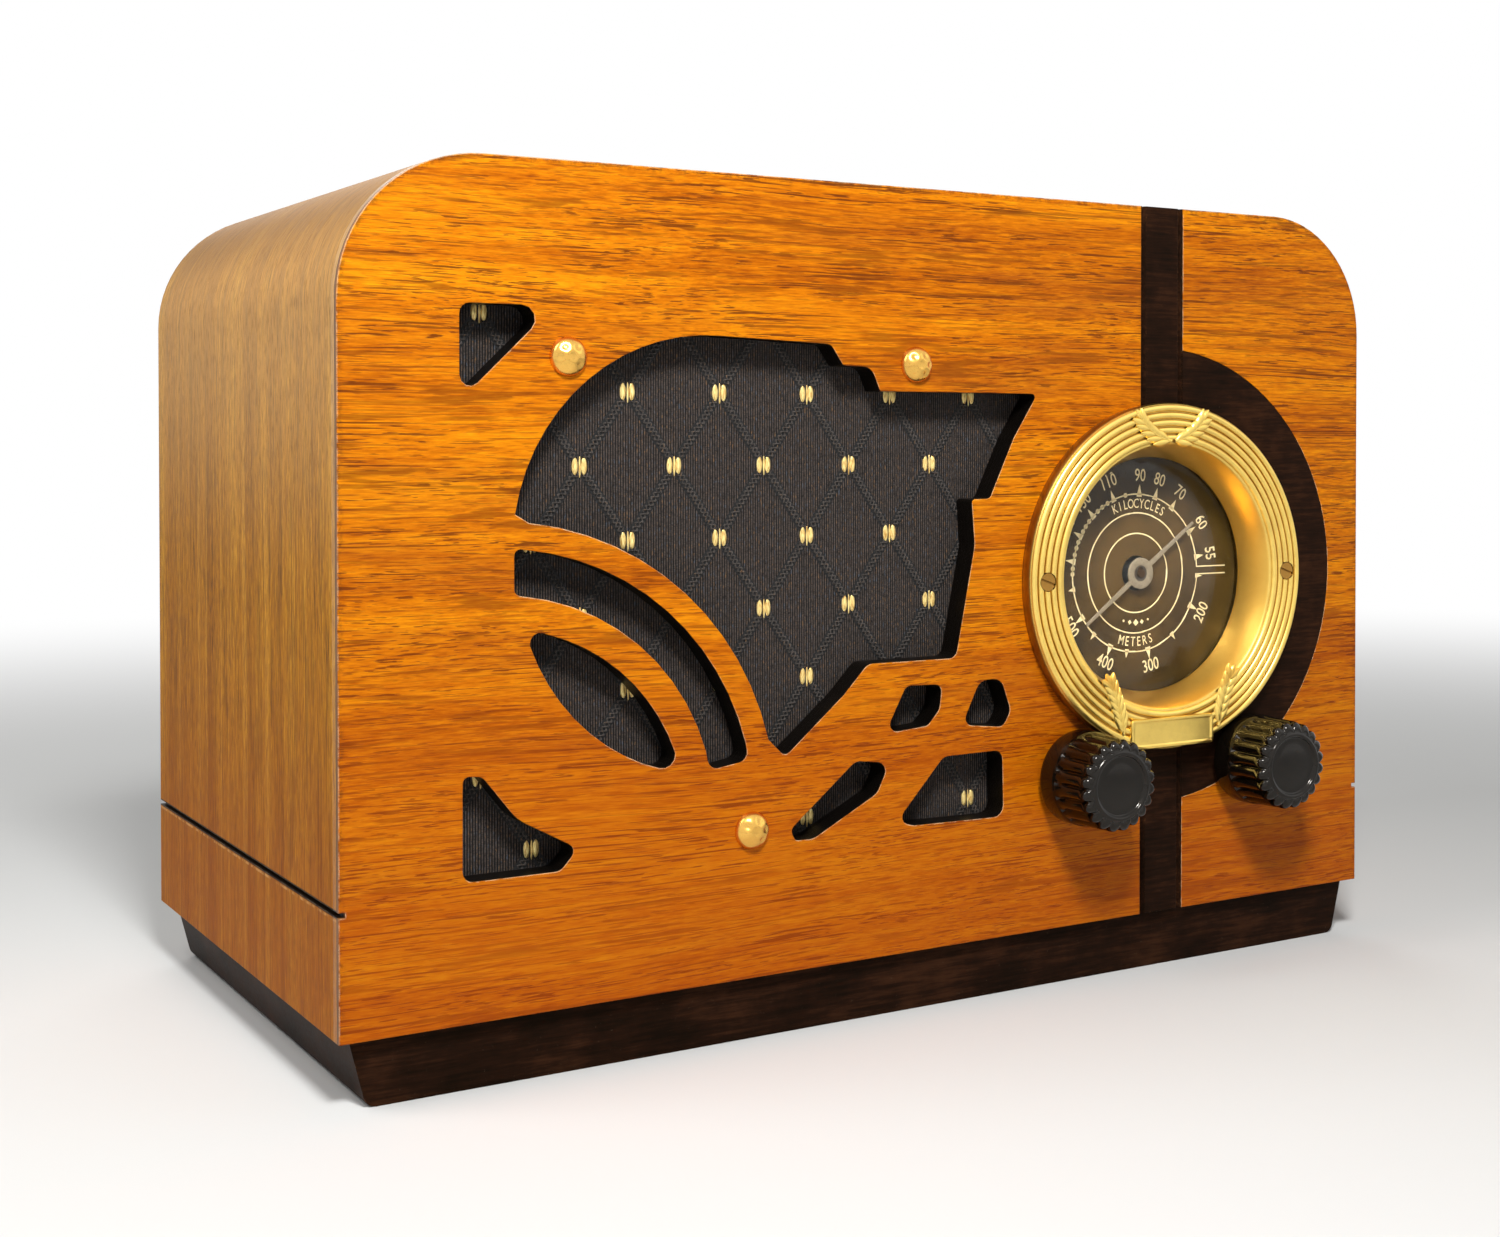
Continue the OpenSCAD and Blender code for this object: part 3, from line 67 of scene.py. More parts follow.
# Places taken from the frame
PANEL = node_box("front_panel")
FACE_Y = PANEL[0].y
LEFT_X, RIGHT_X = PANEL[0].x, PANEL[1].x
WOOD_Z = PANEL[0].z
BEZEL = node_box("dial_bezel")
BEZEL_R = (BEZEL[1].x - BEZEL[0].x) / 2
DIAL = middle("dial_card")
CARD_Y = node_box("dial_card")[0].y
POINTER_Y = node_box("pointer")[0].y
CLOTH = node_box("grille_cloth")
LOW_X, HIGH_X = CLOTH[0].x, CLOTH[1].x
LOW_Z, HIGH_Z = CLOTH[0].z, CLOTH[1].z
CLOTH_FRONT = CLOTH[0].y

# Sizes of the woodwork and the cloth that the materials follow
CORNER_R = 34.0
RIM_W = 5.0
WORN_CORNER_W = 60.0
KERF_Z = WOOD_Z + 28.8
KERF_W = 1.2
VENEER_T = 1.3
PLY_PAIR_T = 2.6
RING_R = 37.6
RIB_PITCH = 0.67

# Heights between which painted light makes the wood paler upwards and painted shade makes it darker and
# redder downwards
SIDE_PAINTED_LIGHT = (WOOD_Z + 90.0, WOOD_Z + 165.0)
SIDE_PAINTED_SHADE = (WOOD_Z + 100.0, WOOD_Z + 10.0)
FRONT_PAINTED_SHADE = (WOOD_Z + 130.0, WOOD_Z + 10.0)

# Tints of the veil of light on lacquered wood and on moulded plastic
WARM = (1.0, 0.72, 0.42, 1.0)
PALE_WARM = (1.0, 0.84, 0.68, 1.0)


def srgb(r, g, b):
    """Linear colour of an 8 bit screen colour."""
    def linear(c):
        c /= 255
        return c / 12.92 if c <= 0.04045 else ((c + 0.055) / 1.055) ** 2.4
    return (linear(r), linear(g), linear(b), 1.0)


class Value:
    """A number that a material's nodes work out. Arithmetic with it makes more nodes."""

    def __init__(self, paint, socket):
        self.paint = paint
        self.socket = socket

    def __add__(self, other):
        return self.paint.math("ADD", self, other)

    def __sub__(self, other):
        return self.paint.math("SUBTRACT", self, other)

    def __rsub__(self, other):
        return self.paint.math("SUBTRACT", other, self)

    def __mul__(self, other):
        return self.paint.math("MULTIPLY", self, other)

    def __lt__(self, other):
        return self.paint.math("LESS_THAN", self, other)

    def __gt__(self, other):
        return self.paint.math("GREATER_THAN", self, other)

    def __abs__(self):
        return self.paint.math("ABSOLUTE", self)


class Paint:
    """One procedural material: a Principled shader with helpers for the nodes that feed it."""

    def __init__(self, name, **values):
        self.name = name
        self.material = bpy.data.materials.new(name)
        self.material.use_nodes = True
        self.tree = self.material.node_tree
        self.shader = self.tree.nodes["Principled BSDF"]
        self.output = self.tree.nodes["Material Output"]
        for socket, value in values.items():
            self.shader.inputs[socket.replace("_", " ")].default_value = value

    def node(self, kind, **settings):
        made = self.tree.nodes.new("ShaderNode" + kind)
        for name, value in settings.items():
            setattr(made, name, value)
        return made

    def feed(self, socket, value):
        """Links an output to a socket, or sets a plain value on it."""
        if isinstance(value, Value):
            value = value.socket
        if isinstance(value, bpy.types.NodeSocket):
            self.tree.links.new(value, socket)
        else:
            socket.default_value = value

    def math(self, kind, *values):
        made = self.node("Math", operation=kind)
        for socket, value in zip(made.inputs, values):
            self.feed(socket, value)
        return Value(self, made.outputs[0])

    def most(self, a, b):
        return self.math("MAXIMUM", a, b)

    def place(self, stretch=(1, 1, 1), shift=(0, 0, 0)):
        """Object coordinates, stretched along each axis and then shifted."""
        mapping = self.node("Mapping")
        mapping.inputs["Scale"].default_value = [s / MM for s in stretch]
        mapping.inputs["Location"].default_value = shift
        self.feed(mapping.inputs["Vector"], self.node("TexCoord").outputs["Object"])
        return mapping.outputs["Vector"]

    def noise(self, scale, detail=3.0, rough=0.55, stretch=(1, 1, 1), at=None):
        """Random clouds, with scale as their number in a millimetre."""
        made = self.node("TexNoise")
        self.feed(made.inputs["Vector"], self.place(stretch) if at is None else at)
        for socket, value in (("Scale", scale), ("Detail", detail), ("Roughness", rough)):
            self.feed(made.inputs[socket], value)
        return Value(self, made.outputs["Fac"])

    def drift(self, vector, scale):
        """Slow random vectors that make straight lines wander."""
        made = self.node("TexNoise")
        self.feed(made.inputs["Vector"], vector)
        made.inputs["Scale"].default_value = scale
        made.inputs["Detail"].default_value = 2.0
        return made.outputs["Color"]

    def shifted(self, vector, by, amount):
        made = self.node("VectorMath", operation="MULTIPLY_ADD")
        self.feed(made.inputs[0], by)
        made.inputs[1].default_value = (amount, amount, amount)
        self.feed(made.inputs[2], vector)
        return made.outputs[0]

    def steps(self, value, low, high, top=1.0, bottom=0.0):
        """Smooth step of a value, from bottom at low to top at high."""
        made = self.node("MapRange", interpolation_type="SMOOTHSTEP")
        for socket, number in zip(made.inputs, (value, low, high, bottom, top)):
            self.feed(socket, number)
        return Value(self, made.outputs[0])

    def ramp(self, value, *stops):
        made = self.node("ValToRGB")
        points = made.color_ramp.elements
        while len(points) < len(stops):
            points.new(0.5)
        for point, (at, colour) in zip(points, stops):
            point.position = at
            point.color = colour
        self.feed(made.inputs[0], value)
        return made.outputs[0]

    def mix(self, share, a, b, kind="MIX"):
        made = self.node("Mix", data_type="RGBA", blend_type=kind)
        self.feed(made.inputs[0], share)
        self.feed(made.inputs[6], a)
        self.feed(made.inputs[7], b)
        return made.outputs[2]

    def split(self, vector):
        made = self.node("SeparateXYZ")
        self.feed(made.inputs[0], vector)
        return [Value(self, part) for part in made.outputs]

    def normal(self):
        return self.split(self.node("NewGeometry").outputs["Normal"])

    def bevel(self, radius):
        """Normal of the surface with its sharp edges rounded."""
        made = self.node("Bevel", samples=4)
        made.inputs["Radius"].default_value = radius * MM
        return made.outputs[0]

    def edge(self, radius, up_left=False):
        """One near sharp edges and nothing elsewhere. up_left keeps only edges that look up or left,
        towards the lamps.
        """
        rounded = self.bevel(radius)
        dot = self.node("VectorMath", operation="DOT_PRODUCT")
        self.feed(dot.inputs[0], rounded)
        self.feed(dot.inputs[1], self.node("NewGeometry").outputs["Normal"])
        found = self.steps(1.0 - Value(self, dot.outputs["Value"]), 0.02, 0.3)
        if not up_left:
            return found
        x, _, z = self.split(rounded)
        return found * self.steps(z - x, 0.02, 0.3)

    def bump(self, height, depth, strength=1.0, rounding=0.0):
        """Relief of the surface. rounding also softens the light on sharp edges."""
        made = self.node("Bump")
        made.inputs["Distance"].default_value = depth * MM
        made.inputs["Strength"].default_value = strength
        self.feed(made.inputs["Height"], height)
        if rounding:
            self.feed(made.inputs["Normal"], self.bevel(rounding))
        self.feed(self.shader.inputs["Normal"], made.outputs[0])

    def base(self):
        """The colour that was set last."""
        return self.shader.inputs["Base Color"].links[0].from_socket

    def colour(self, value):
        self.feed(self.shader.inputs["Base Color"], value)

    def roughness(self, value):
        self.feed(self.shader.inputs["Roughness"], value)

    def blend(self, share, first, second):
        """Shows first, and second by its share."""
        made = self.node("MixShader")
        for socket, value in zip(made.inputs, (share, first.outputs[0], second.outputs[0])):
            self.feed(socket, value)
        self.feed(self.output.inputs["Surface"], made.outputs[0])


def veneer(paint, along, tones, dark, patch, layers, lines, strength):
    """Colour of sliced veneer. along flags the axes of the grain; tones run from dark to light.

    layers are the broad, middle and thin streaks: how far each is squeezed along the grain, how many there
    are in a millimetre across it, and its share of the tone. lines is the distance of the growth lines.
    """
    def space(share):
        return paint.place([share if flag else 1 for flag in along])

    drift = paint.drift(space(0.3), 0.018)

    def streaks(share, scale, detail=4, rough=0.62):
        return paint.noise(scale, detail, rough, at=paint.shifted(space(share), drift, 7.0))

    def dashes(share, scale, low, high):
        return paint.steps(streaks(share, scale, 2, 0.5), low, high)

    fine = streaks(0.09, 2.2, 3)
    tone = fine * (1.0 - sum(layer[2] for layer in layers))
    for share, scale, weight in layers:
        tone = streaks(share, scale) * weight + tone
    blots = paint.steps(streaks(0.12, 0.065, 5, 0.7), 0.5, 0.68, 0.24 * strength)
    colour = paint.mix(blots, paint.ramp(tone, *tones), patch)
    across = paint.split(space(1))[along.index(0)] * (1 / lines)
    wave = paint.math("SINE", (across + streaks(0.05, 0.1, 3) * 3.2) * (2 * pi))
    growth = paint.steps(wave, 0.72, 0.96, 0.6) * dashes(0.07, 0.6, 0.48, 0.56)
    where = paint.steps(streaks(0.1, 0.22, 3), 0.38, 0.6, 1.0, 0.45)
    pores = paint.most(dashes(0.02, 1.7, 0.58, 0.63), dashes(0.055, 2.4, 0.585, 0.63))
    cuts = paint.most(pores * where, growth)
    return paint.mix(cuts * (0.85 * strength), colour, dark), cuts, fine


def inside_panel(paint):
    """How far a point lies inside the rounded outline of the front, and one on its upper left corner."""
    x, _, z = paint.split(paint.place())
    out = paint.most(abs(x) - (RIGHT_X - CORNER_R), 0.0)
    up = paint.most(z - (PANEL[1].z - CORNER_R), 0.0)
    away = paint.math("SQRT", out * out + up * up)
    corner = paint.steps(up, 0.0, 12.0) * (x < LEFT_X + WORN_CORNER_W)
    return CORNER_R - away, corner


def side_veneer(paint):
    """Veneer of the bent sides and top: soft golden bands with short fibres and a few yellow streaks.

    It is stained dark round the sawn line. Painted light and shade: a patchy pale highlight on the band
    just below that line, paler wood upwards, darker and redder wood downwards, and a darker top face.
    """
    tones = (
        (0.38, srgb(128, 76, 12)), (0.45, srgb(158, 98, 16)), (0.5, srgb(182, 117, 22)),
        (0.55, srgb(199, 134, 30)), (0.62, srgb(223, 163, 54)),
    )
    layers = ((0.02, 0.05, 0.36), (0.12, 0.3, 0.12), (0.2, 1.3, 0.2))
    colour, cuts, fine = veneer(
        paint, (1, 0, 1), tones, srgb(72, 43, 12), srgb(136, 84, 22), layers, 9.0, 0.9
    )
    bent = paint.shifted(paint.place((0.01, 1, 0.01)), paint.drift(paint.place(), 0.008), 4.0)
    ridge = paint.steps(paint.noise(0.22, 2, 0.5, at=bent), 0.58, 0.68, 0.5)
    colour = paint.mix(ridge * paint.steps(fine, 0.3, 0.6), colour, srgb(232, 168, 60))
    x, _, z = paint.split(paint.place())
    # Painted light makes the upper sides paler, and painted shade makes the lower sides darker and redder
    colour = paint.mix(paint.steps(z, *SIDE_PAINTED_LIGHT, 0.42), colour, srgb(232, 190, 134))
    colour = paint.mix(paint.steps(z, *SIDE_PAINTED_SHADE, 0.5), colour, srgb(160, 70, 0))
    # Painted shade: the upward facing top of the shell is darkened
    top = paint.steps(paint.normal()[2], 0.1, 0.75)
    colour = paint.mix(top, colour, srgb(180, 177, 170), "MULTIPLY")
    fibre = paint.steps(paint.noise(1.9, 3, 0.6, (0.14, 1, 0.14)), 0.5, 0.64, 0.42)
    colour = paint.mix(fibre, colour, srgb(118, 73, 20))
    side = abs(x) > RIGHT_X - 3.0
    off = z - KERF_Z
    stain = paint.steps(abs(off), KERF_W / 2 + 0.5, KERF_W / 2 + 0.15)
    colour = paint.mix(stain * side, colour, srgb(30, 19, 12))
    # Painted highlight: a patchy pale band just below the sawn line
    lip_highlight = paint.steps(abs(off + (KERF_W / 2 + 0.8)), 0.45, 0.15)
    wear = paint.steps(paint.noise(0.3, 5, 0.7), 0.42, 0.62, 0.6)
    return paint.mix(lip_highlight * side * wear, colour, srgb(226, 178, 112)), cuts, fine


def front_wood():
    """Figured front veneer. Its cut walls are black, and its outer edge shows the veneer of the side."""
    paint = Paint(
        "front_wood", Specular_IOR_Level=0.16, Specular_Tint=WARM, Coat_Weight=0.03, Coat_Roughness=0.2
    )
    tones = (
        (0.38, srgb(156, 72, 4)), (0.45, srgb(190, 99, 5)), (0.5, srgb(212, 119, 7)),
        (0.56, srgb(231, 141, 10)), (0.64, srgb(248, 166, 17)),
    )
    layers = ((0.05, 0.03, 0.3), (0.04, 0.14, 0.22), (0.03, 0.7, 0.2))
    colour, cuts, fine = veneer(
        paint, (1, 0, 0), tones, srgb(96, 40, 8), srgb(140, 68, 24), layers, 1.5, 1.0
    )
    _, y, z = paint.split(paint.place())
    # Painted shade: the front turns darker and redder downwards
    colour = paint.mix(paint.steps(z, *FRONT_PAINTED_SHADE, 0.56), colour, srgb(156, 60, 1))
    depth, corner = inside_panel(paint)
    blotch = paint.steps(paint.noise(0.55, 5, 0.7), 0.45, 0.62, 0.6)
    colour = paint.mix(paint.steps(depth, 1.9, 0.2) * blotch, colour, srgb(92, 44, 16))
    # Pale edges: worn to white on the upper left corner, and elsewhere a patchy painted highlight on the
    # edges that look up or left, towards the lamps
    wear = paint.most(paint.steps(paint.noise(0.3, 5, 0.7), 0.38, 0.58), corner)
    edge_wear_and_highlight = paint.edge(0.65, up_left=True) * wear
    colour = paint.mix(edge_wear_and_highlight * 0.85, colour, srgb(255, 232, 186))
    side_colour, _, _ = side_veneer(paint)
    behind = y - (FACE_Y + VENEER_T)
    side_colour = paint.mix(behind < 0.0, side_colour, srgb(138, 84, 28))
    seam = paint.steps(abs(behind), 0.35, 0.15, 0.9)
    side_colour = paint.mix(seam, side_colour, srgb(52, 30, 16))
    facing = paint.normal()[1]
    wall = abs(facing) < 0.5
    colour = paint.mix(wall * (depth < RIM_W), colour, side_colour)
    colour = paint.mix((facing > 0.5) * 0.55, colour, srgb(120, 84, 52))
    paint.colour(paint.mix(wall * (depth > RIM_W), colour, srgb(9, 7, 6)))
    paint.roughness(fine * 0.25 + 0.28)
    paint.bump(fine * 0.4 - cuts, 0.06, 0.6, 0.4)
    return paint


def shell_wood():
    """Bent plywood of the sides and top, with its plies on the sawn rear end."""
    paint = Paint("shell_wood", Specular_IOR_Level=0.06, Specular_Tint=WARM)
    colour, cuts, fine = side_veneer(paint)
    depth, _ = inside_panel(paint)
    plies = paint.math("COSINE", depth * (2 * pi / PLY_PAIR_T))
    ply_tone = paint.mix(paint.steps(plies, -0.25, 0.25), srgb(134, 92, 52), srgb(196, 150, 98))
    ply_tone = paint.mix(fine * 0.5, ply_tone, srgb(112, 76, 42))
    colour = paint.mix(paint.normal()[1] > 0.7, colour, ply_tone)
    worn = paint.edge(0.5) * paint.steps(paint.noise(0.3, 5, 0.7), 0.42, 0.62, 0.3)
    paint.colour(paint.mix(worn, colour, srgb(226, 196, 150)))
    paint.roughness(fine * 0.25 + 0.44)
    paint.bump(fine * 0.4 - cuts, 0.04, 0.4, 0.5)
    return paint


def plain_wood():
    """Dusty bare wood of the pieces inside."""
    paint = Paint("plain_wood", Specular_IOR_Level=0.2)
    tones = (
        (0.39, srgb(140, 104, 66)), (0.45, srgb(164, 126, 84)), (0.5, srgb(180, 142, 98)),
        (0.55, srgb(192, 156, 110)), (0.63, srgb(208, 174, 128)),
    )
    layers = ((0.06, 0.04, 0.3), (0.05, 0.16, 0.3), (0.04, 0.8, 0.25))
    colour, cuts, fine = veneer(
        paint, (1, 0, 0), tones, srgb(116, 80, 48), srgb(150, 114, 74), layers, 2.6, 0.7
    )
    dust = paint.steps(paint.noise(0.05, 5, 0.7), 0.45, 0.7, 0.3)
    paint.colour(paint.mix(dust, colour, srgb(104, 88, 68)))
    paint.roughness(fine * 0.2 + 0.6)
    paint.bump(fine - cuts, 0.06, 0.6, 0.5)
    return paint


def black_wood():
    """Black lacquer over wood, with the grain showing through and small chips along the edges."""
    paint = Paint("black_wood", Specular_IOR_Level=0.06, Specular_Tint=WARM)
    grain = paint.noise(1.1, 5, 0.7, (0.06, 1, 0.8))
    tone = grain * 0.5 + paint.noise(0.05, 4, 0.6) * 0.5
    colour = paint.ramp(tone, (0.38, srgb(14, 7, 4)), (0.5, srgb(31, 16, 9)), (0.62, srgb(54, 31, 18)))
    chips = paint.edge(0.45) * paint.steps(paint.noise(0.8, 5, 0.75), 0.56, 0.66, 0.7)
    colour = paint.mix(chips, colour, srgb(150, 96, 54))
    dust = paint.steps(paint.noise(0.9, 6, 0.8), 0.63, 0.7, 0.25)
    paint.colour(paint.mix(dust, colour, srgb(108, 92, 76)))
    paint.roughness(grain * 0.3 + 0.38)
    paint.bump(grain, 0.05, 0.5, 0.4)
    return paint


def brass(name, light, dark, rough, pits, local=True):
    """Lacquered brass, darker in its hollows from patina and painted shade and, unless local, with painted
    shade close to other pieces.
    """
    paint = Paint(name, Metallic=1.0)
    cloud = paint.noise(0.09, 5, 0.65)
    specks = paint.steps(paint.noise(1.8, 4, 0.7), 0.58, 0.74, pits)
    # Ambient occlusion darkening: patina and painted shade in the hollows, and painted shade next to other
    # pieces unless local
    hollow = paint.node("AmbientOcclusion", samples=6, only_local=local)
    hollow.inputs["Distance"].default_value = 1.8 * MM
    shade = paint.steps(hollow.outputs["AO"], 0.95, 0.35, 0.5)
    tone = paint.mix(paint.steps(cloud, 0.35, 0.7, 0.18), light, dark)
    paint.colour(paint.mix(shade, paint.mix(specks, tone, dark), dark))
    paint.roughness(cloud * 0.16 + rough)
    paint.bump(paint.noise(2.2, 4, 0.6), 0.02, 0.4)
    return paint


def metal(name, light, dark, rough, scale=0.12, metallic=1.0, wear=0.2, brush=(1, 0.2, 1)):
    """Plated, cast or drawn metal with soft clouds, a few specks and fine scratches."""
    paint = Paint(name, Metallic=metallic)
    scratch = paint.noise(2.4, 4, 0.7, brush)
    specks = paint.steps(paint.noise(0.9, 6, 0.78), 0.6, 0.74, wear)
    tone = paint.ramp(scratch * 0.45 + paint.noise(scale, 3, 0.5) * 0.55, (0.38, dark), (0.62, light))
    stain = tuple(c * 0.45 for c in dark[:3]) + (1.0,)
    paint.colour(paint.mix(specks, tone, stain))
    paint.roughness(scratch * 0.28 + (rough - 0.08))
    paint.bump(scratch, 0.02, 0.35, 0.3)
    return paint


def moulding(name, dark, light, rough, coat=0.12):
    """Polished moulded plastic with a faint mottle and polish marks."""
    paint = Paint(
        name, Specular_IOR_Level=0.16, Specular_Tint=PALE_WARM, Coat_Weight=coat, Coat_Roughness=0.05
    )
    paint.colour(paint.ramp(paint.noise(0.5, 5, 0.7), (0.35, dark), (0.7, light)))
    paint.roughness(paint.noise(0.25, 4, 0.65) * 0.2 + rough)
    paint.bump(paint.noise(1.6, 3, 0.6), 0.015, 0.3)
    return paint


def rough_stuff(name, dark, light, scale, depth, rough=0.8, stretch=(1, 1, 1)):
    """Rubber, card, paper and cast iron: mottled and matte."""
    paint = Paint(name)
    fibre = paint.noise(scale * 8, 3, 0.6, stretch)
    tone = fibre * 0.35 + paint.noise(scale, 6, 0.7, stretch) * 0.65
    paint.colour(paint.ramp(tone, (0.35, dark), (0.68, light)))
    paint.roughness(fibre * 0.15 + (rough - 0.08))
    paint.bump(fibre, depth, 0.6)
    return paint


def glass(name, tint, rough=0.02, smoke=0.0, level=0.5, ior=1.45):
    """Clear glass that lets the lamps through, with a little dust on it."""
    paint = Paint(name, Transmission_Weight=1.0, IOR=ior, Specular_IOR_Level=level)
    dust = paint.steps(paint.noise(0.22, 5, 0.7), 0.5, 0.8)
    paint.colour(paint.mix(dust * smoke, tint, srgb(120, 112, 100)))
    paint.roughness(dust * 0.06 + rough)
    shadow_ray = paint.node("LightPath").outputs["Is Shadow Ray"]
    paint.blend(shadow_ray, paint.shader, paint.node("BsdfTransparent"))
    return paint


def fabric(name, dark, light, rib=0.0, cool=0.5):
    """Cloth: threads along the ribs and small cross slubs, with painted shade between the ribs when rib is
    given.

    cool is the share of its blue grey flecks.
    """
    paint = Paint(name, Specular_IOR_Level=0.2, Sheen_Weight=0.06, Sheen_Roughness=0.5)
    slub = paint.noise(2.2, 3, 0.7, (0.6, 1, 2))
    tone = slub * 0.5 + paint.noise(3.0, 3, 0.6, (1, 1, 0.2)) * 0.5
    colour = paint.ramp(tone, (0.36, dark), (0.66, light))
    fleck = paint.steps(paint.noise(1.7, 2, 0.5, (1.4, 1, 0.5)), 0.6, 0.7, 0.6)
    colour = paint.mix(fleck, colour, srgb(128, 96, 62))
    blue = paint.noise(1.5, 2, 0.5, at=paint.place((1.4, 1, 0.4), (31, 0, 17)))
    colour = paint.mix(paint.steps(blue, 0.58, 0.7, cool), colour, srgb(82, 98, 116))
    if rib:
        across = paint.split(paint.place())[0] - LOW_X
        # Painted shade: near black between the ribs
        groove = paint.steps(paint.math("COSINE", across * (2 * pi / rib)), 0.5, -0.6, 0.95)
        colour = paint.mix(groove, colour, srgb(2, 2, 3))
    paint.colour(colour)
    paint.roughness(slub * 0.2 + 0.7)
    paint.bump(tone, 0.12, 0.8)
    return paint


def gold_thread():
    paint = Paint("gold_thread", Metallic=0.4, Roughness=0.38)
    strand = paint.noise(4.5, 2, 0.5, (1, 1, 0.12))
    paint.colour(paint.ramp(strand, (0.35, srgb(200, 146, 62)), (0.55, srgb(255, 230, 150))))
    paint.bump(strand, 0.12, 0.8)
    return paint


def from_dial(paint):
    """Distance from the axis of the dial."""
    x, _, z = paint.split(paint.place(shift=(-DIAL.x, 0, -DIAL.z)))
    return paint.math("SQRT", x * x + z * z)


def bezel_brass():
    """Satin brass of the bezel, with painted shade making its inner cone darker and redder and its outer
    wall darker.
    """
    paint = brass("satin_brass", srgb(255, 220, 118), srgb(146, 92, 30), 0.24, 0.16, local=False)
    away = from_dial(paint)
    # Painted shade: the inner cone darker and redder, and the outer wall darker down to the wood
    cone = paint.steps(away, RING_R + 0.1, RING_R - 0.6, 0.6)
    outer_wall_shade = paint.steps(away, BEZEL_R - 0.45, BEZEL_R - 0.1, 0.75)
    colour = paint.mix(cone, paint.base(), srgb(216, 158, 58))
    paint.colour(paint.mix(outer_wall_shade, colour, srgb(96, 62, 26)))
    return paint


def rotor_metal():
    """Aluminium of the tuning rotor, with the brown end of its shaft in the pointer's hub."""
    paint = metal("rotor_metal", srgb(206, 208, 210), srgb(168, 168, 166), 0.34)
    tip = paint.split(paint.place())[1] < CARD_Y - 0.5
    paint.colour(paint.mix(tip, paint.base(), srgb(84, 62, 40)))
    return paint


def pointer_paint():
    """Grey brown stamped metal with a dark middle."""
    paint = rough_stuff("pointer_metal", srgb(114, 101, 82), srgb(146, 131, 108), 0.8, 0.01, 0.45)
    sunk = paint.steps(from_dial(paint), 2.5, 2.1)
    paint.colour(paint.mix(sunk, paint.base(), srgb(62, 50, 38)))
    return paint


def dial_brown():
    """Printed card, with painted shade darkening it towards its edge under the bezel."""
    paint = Paint("dial_brown", Specular_IOR_Level=0.15)
    grit = paint.noise(2.5, 3, 0.6)
    tone = grit * 0.25 + paint.noise(0.06, 4, 0.6) * 0.75
    # Painted shade: the card darkens towards its edge, under the bezel
    tone = tone - paint.steps(from_dial(paint), 12.0, 34.0, 0.12)
    paint.colour(paint.ramp(tone, (0.28, srgb(38, 27, 11)), (0.58, srgb(86, 64, 29))))
    paint.roughness(grit * 0.2 + 0.4)
    paint.bump(grit, 0.01, 0.3)
    return paint


def dial_cream():
    paint = Paint("dial_cream", Roughness=0.6)
    cloud = paint.noise(0.4, 4, 0.6)
    paint.colour(paint.ramp(cloud, (0.35, srgb(230, 206, 152)), (0.65, srgb(252, 234, 184))))
    return paint


# One material for each material slot of the record
SLOT_PAINTS = (
    front_wood(),
    shell_wood(),
    black_wood(),
    plain_wood(),
    bezel_brass(),
    pointer_paint(),
    brass("polished_brass", srgb(240, 188, 94), srgb(140, 88, 28), 0.14, 0.45),
    metal("plated_steel", srgb(184, 182, 174), srgb(138, 134, 124), 0.32),
    metal("chassis_steel", srgb(178, 178, 170), srgb(138, 136, 128), 0.4, 0.03),
    metal("aluminium_plates", srgb(206, 208, 210), srgb(168, 168, 166), 0.34),
    metal("can_aluminium", srgb(206, 206, 202), srgb(170, 168, 162), 0.34, 0.04, brush=(2, 2, 0.1)),
    metal("electrode_metal", srgb(78, 78, 80), srgb(44, 43, 43), 0.5, metallic=0.7),
    metal("core_iron", srgb(96, 94, 90), srgb(62, 56, 50), 0.45, 0.15, 0.8),
    glass("clear_glass", srgb(250, 250, 246), level=0.12, ior=1.25),
    glass("tube_glass", srgb(236, 240, 236), 0.02, 0.25),
    glass("lamp_glass", srgb(252, 244, 222)),
    moulding("bakelite_black", srgb(7, 5, 3), srgb(18, 14, 9), 0.05, 0.42),
    moulding("bakelite_brown", srgb(34, 20, 14), srgb(62, 38, 26), 0.22),
    moulding("black_enamel", srgb(10, 9, 9), srgb(26, 24, 22), 0.3, 0.1),
    rough_stuff("black_rubber", srgb(16, 15, 14), srgb(38, 36, 34), 0.3, 0.03),
    rough_stuff("lead_cloth", srgb(86, 26, 18), srgb(150, 58, 40), 0.8, 0.15, stretch=(2, 2, 2)),
    rough_stuff("former_card", srgb(118, 82, 44), srgb(184, 140, 88), 0.3, 0.06),
    rough_stuff("coil_paper", srgb(128, 86, 40), srgb(198, 152, 92), 0.2, 0.05, 0.5),
    rough_stuff("cone_paper", srgb(30, 25, 20), srgb(66, 55, 43), 0.25, 0.12, 0.9),
)
PAINTS = {paint.name: paint for paint in SLOT_PAINTS}
PAINTS["grille_cloth"] = fabric("grille_fabric", srgb(18, 17, 17), srgb(98, 86, 78), RIB_PITCH)
PAINTS["dial_print"] = dial_brown()

# Materials of pieces that share a slot with others
CORD = fabric("lattice_cord", srgb(17, 16, 16), srgb(96, 89, 84), cool=0.0)
# Near black for the painted shadow strips under the lattice cords
SHADE = rough_stuff("lattice_cord_shadow", srgb(3, 3, 3), srgb(12, 11, 11), 1.0, 0.02)
GOLD = gold_thread()
CREAM = dial_cream()
SCREW_BRASS = brass("screw_brass", srgb(186, 138, 66), srgb(70, 44, 18), 0.3, 0.5)

for part in frame["record"]["subparts"]:
    mesh = nodes[part["node"]].data
    mesh.materials.clear()
    mesh.materials.append(PAINTS[part["material_slot"]].material)
nodes["bezel_screws"].data.materials[0] = SCREW_BRASS.material
nodes["condenser_rotor"].data.materials[0] = rotor_metal().material


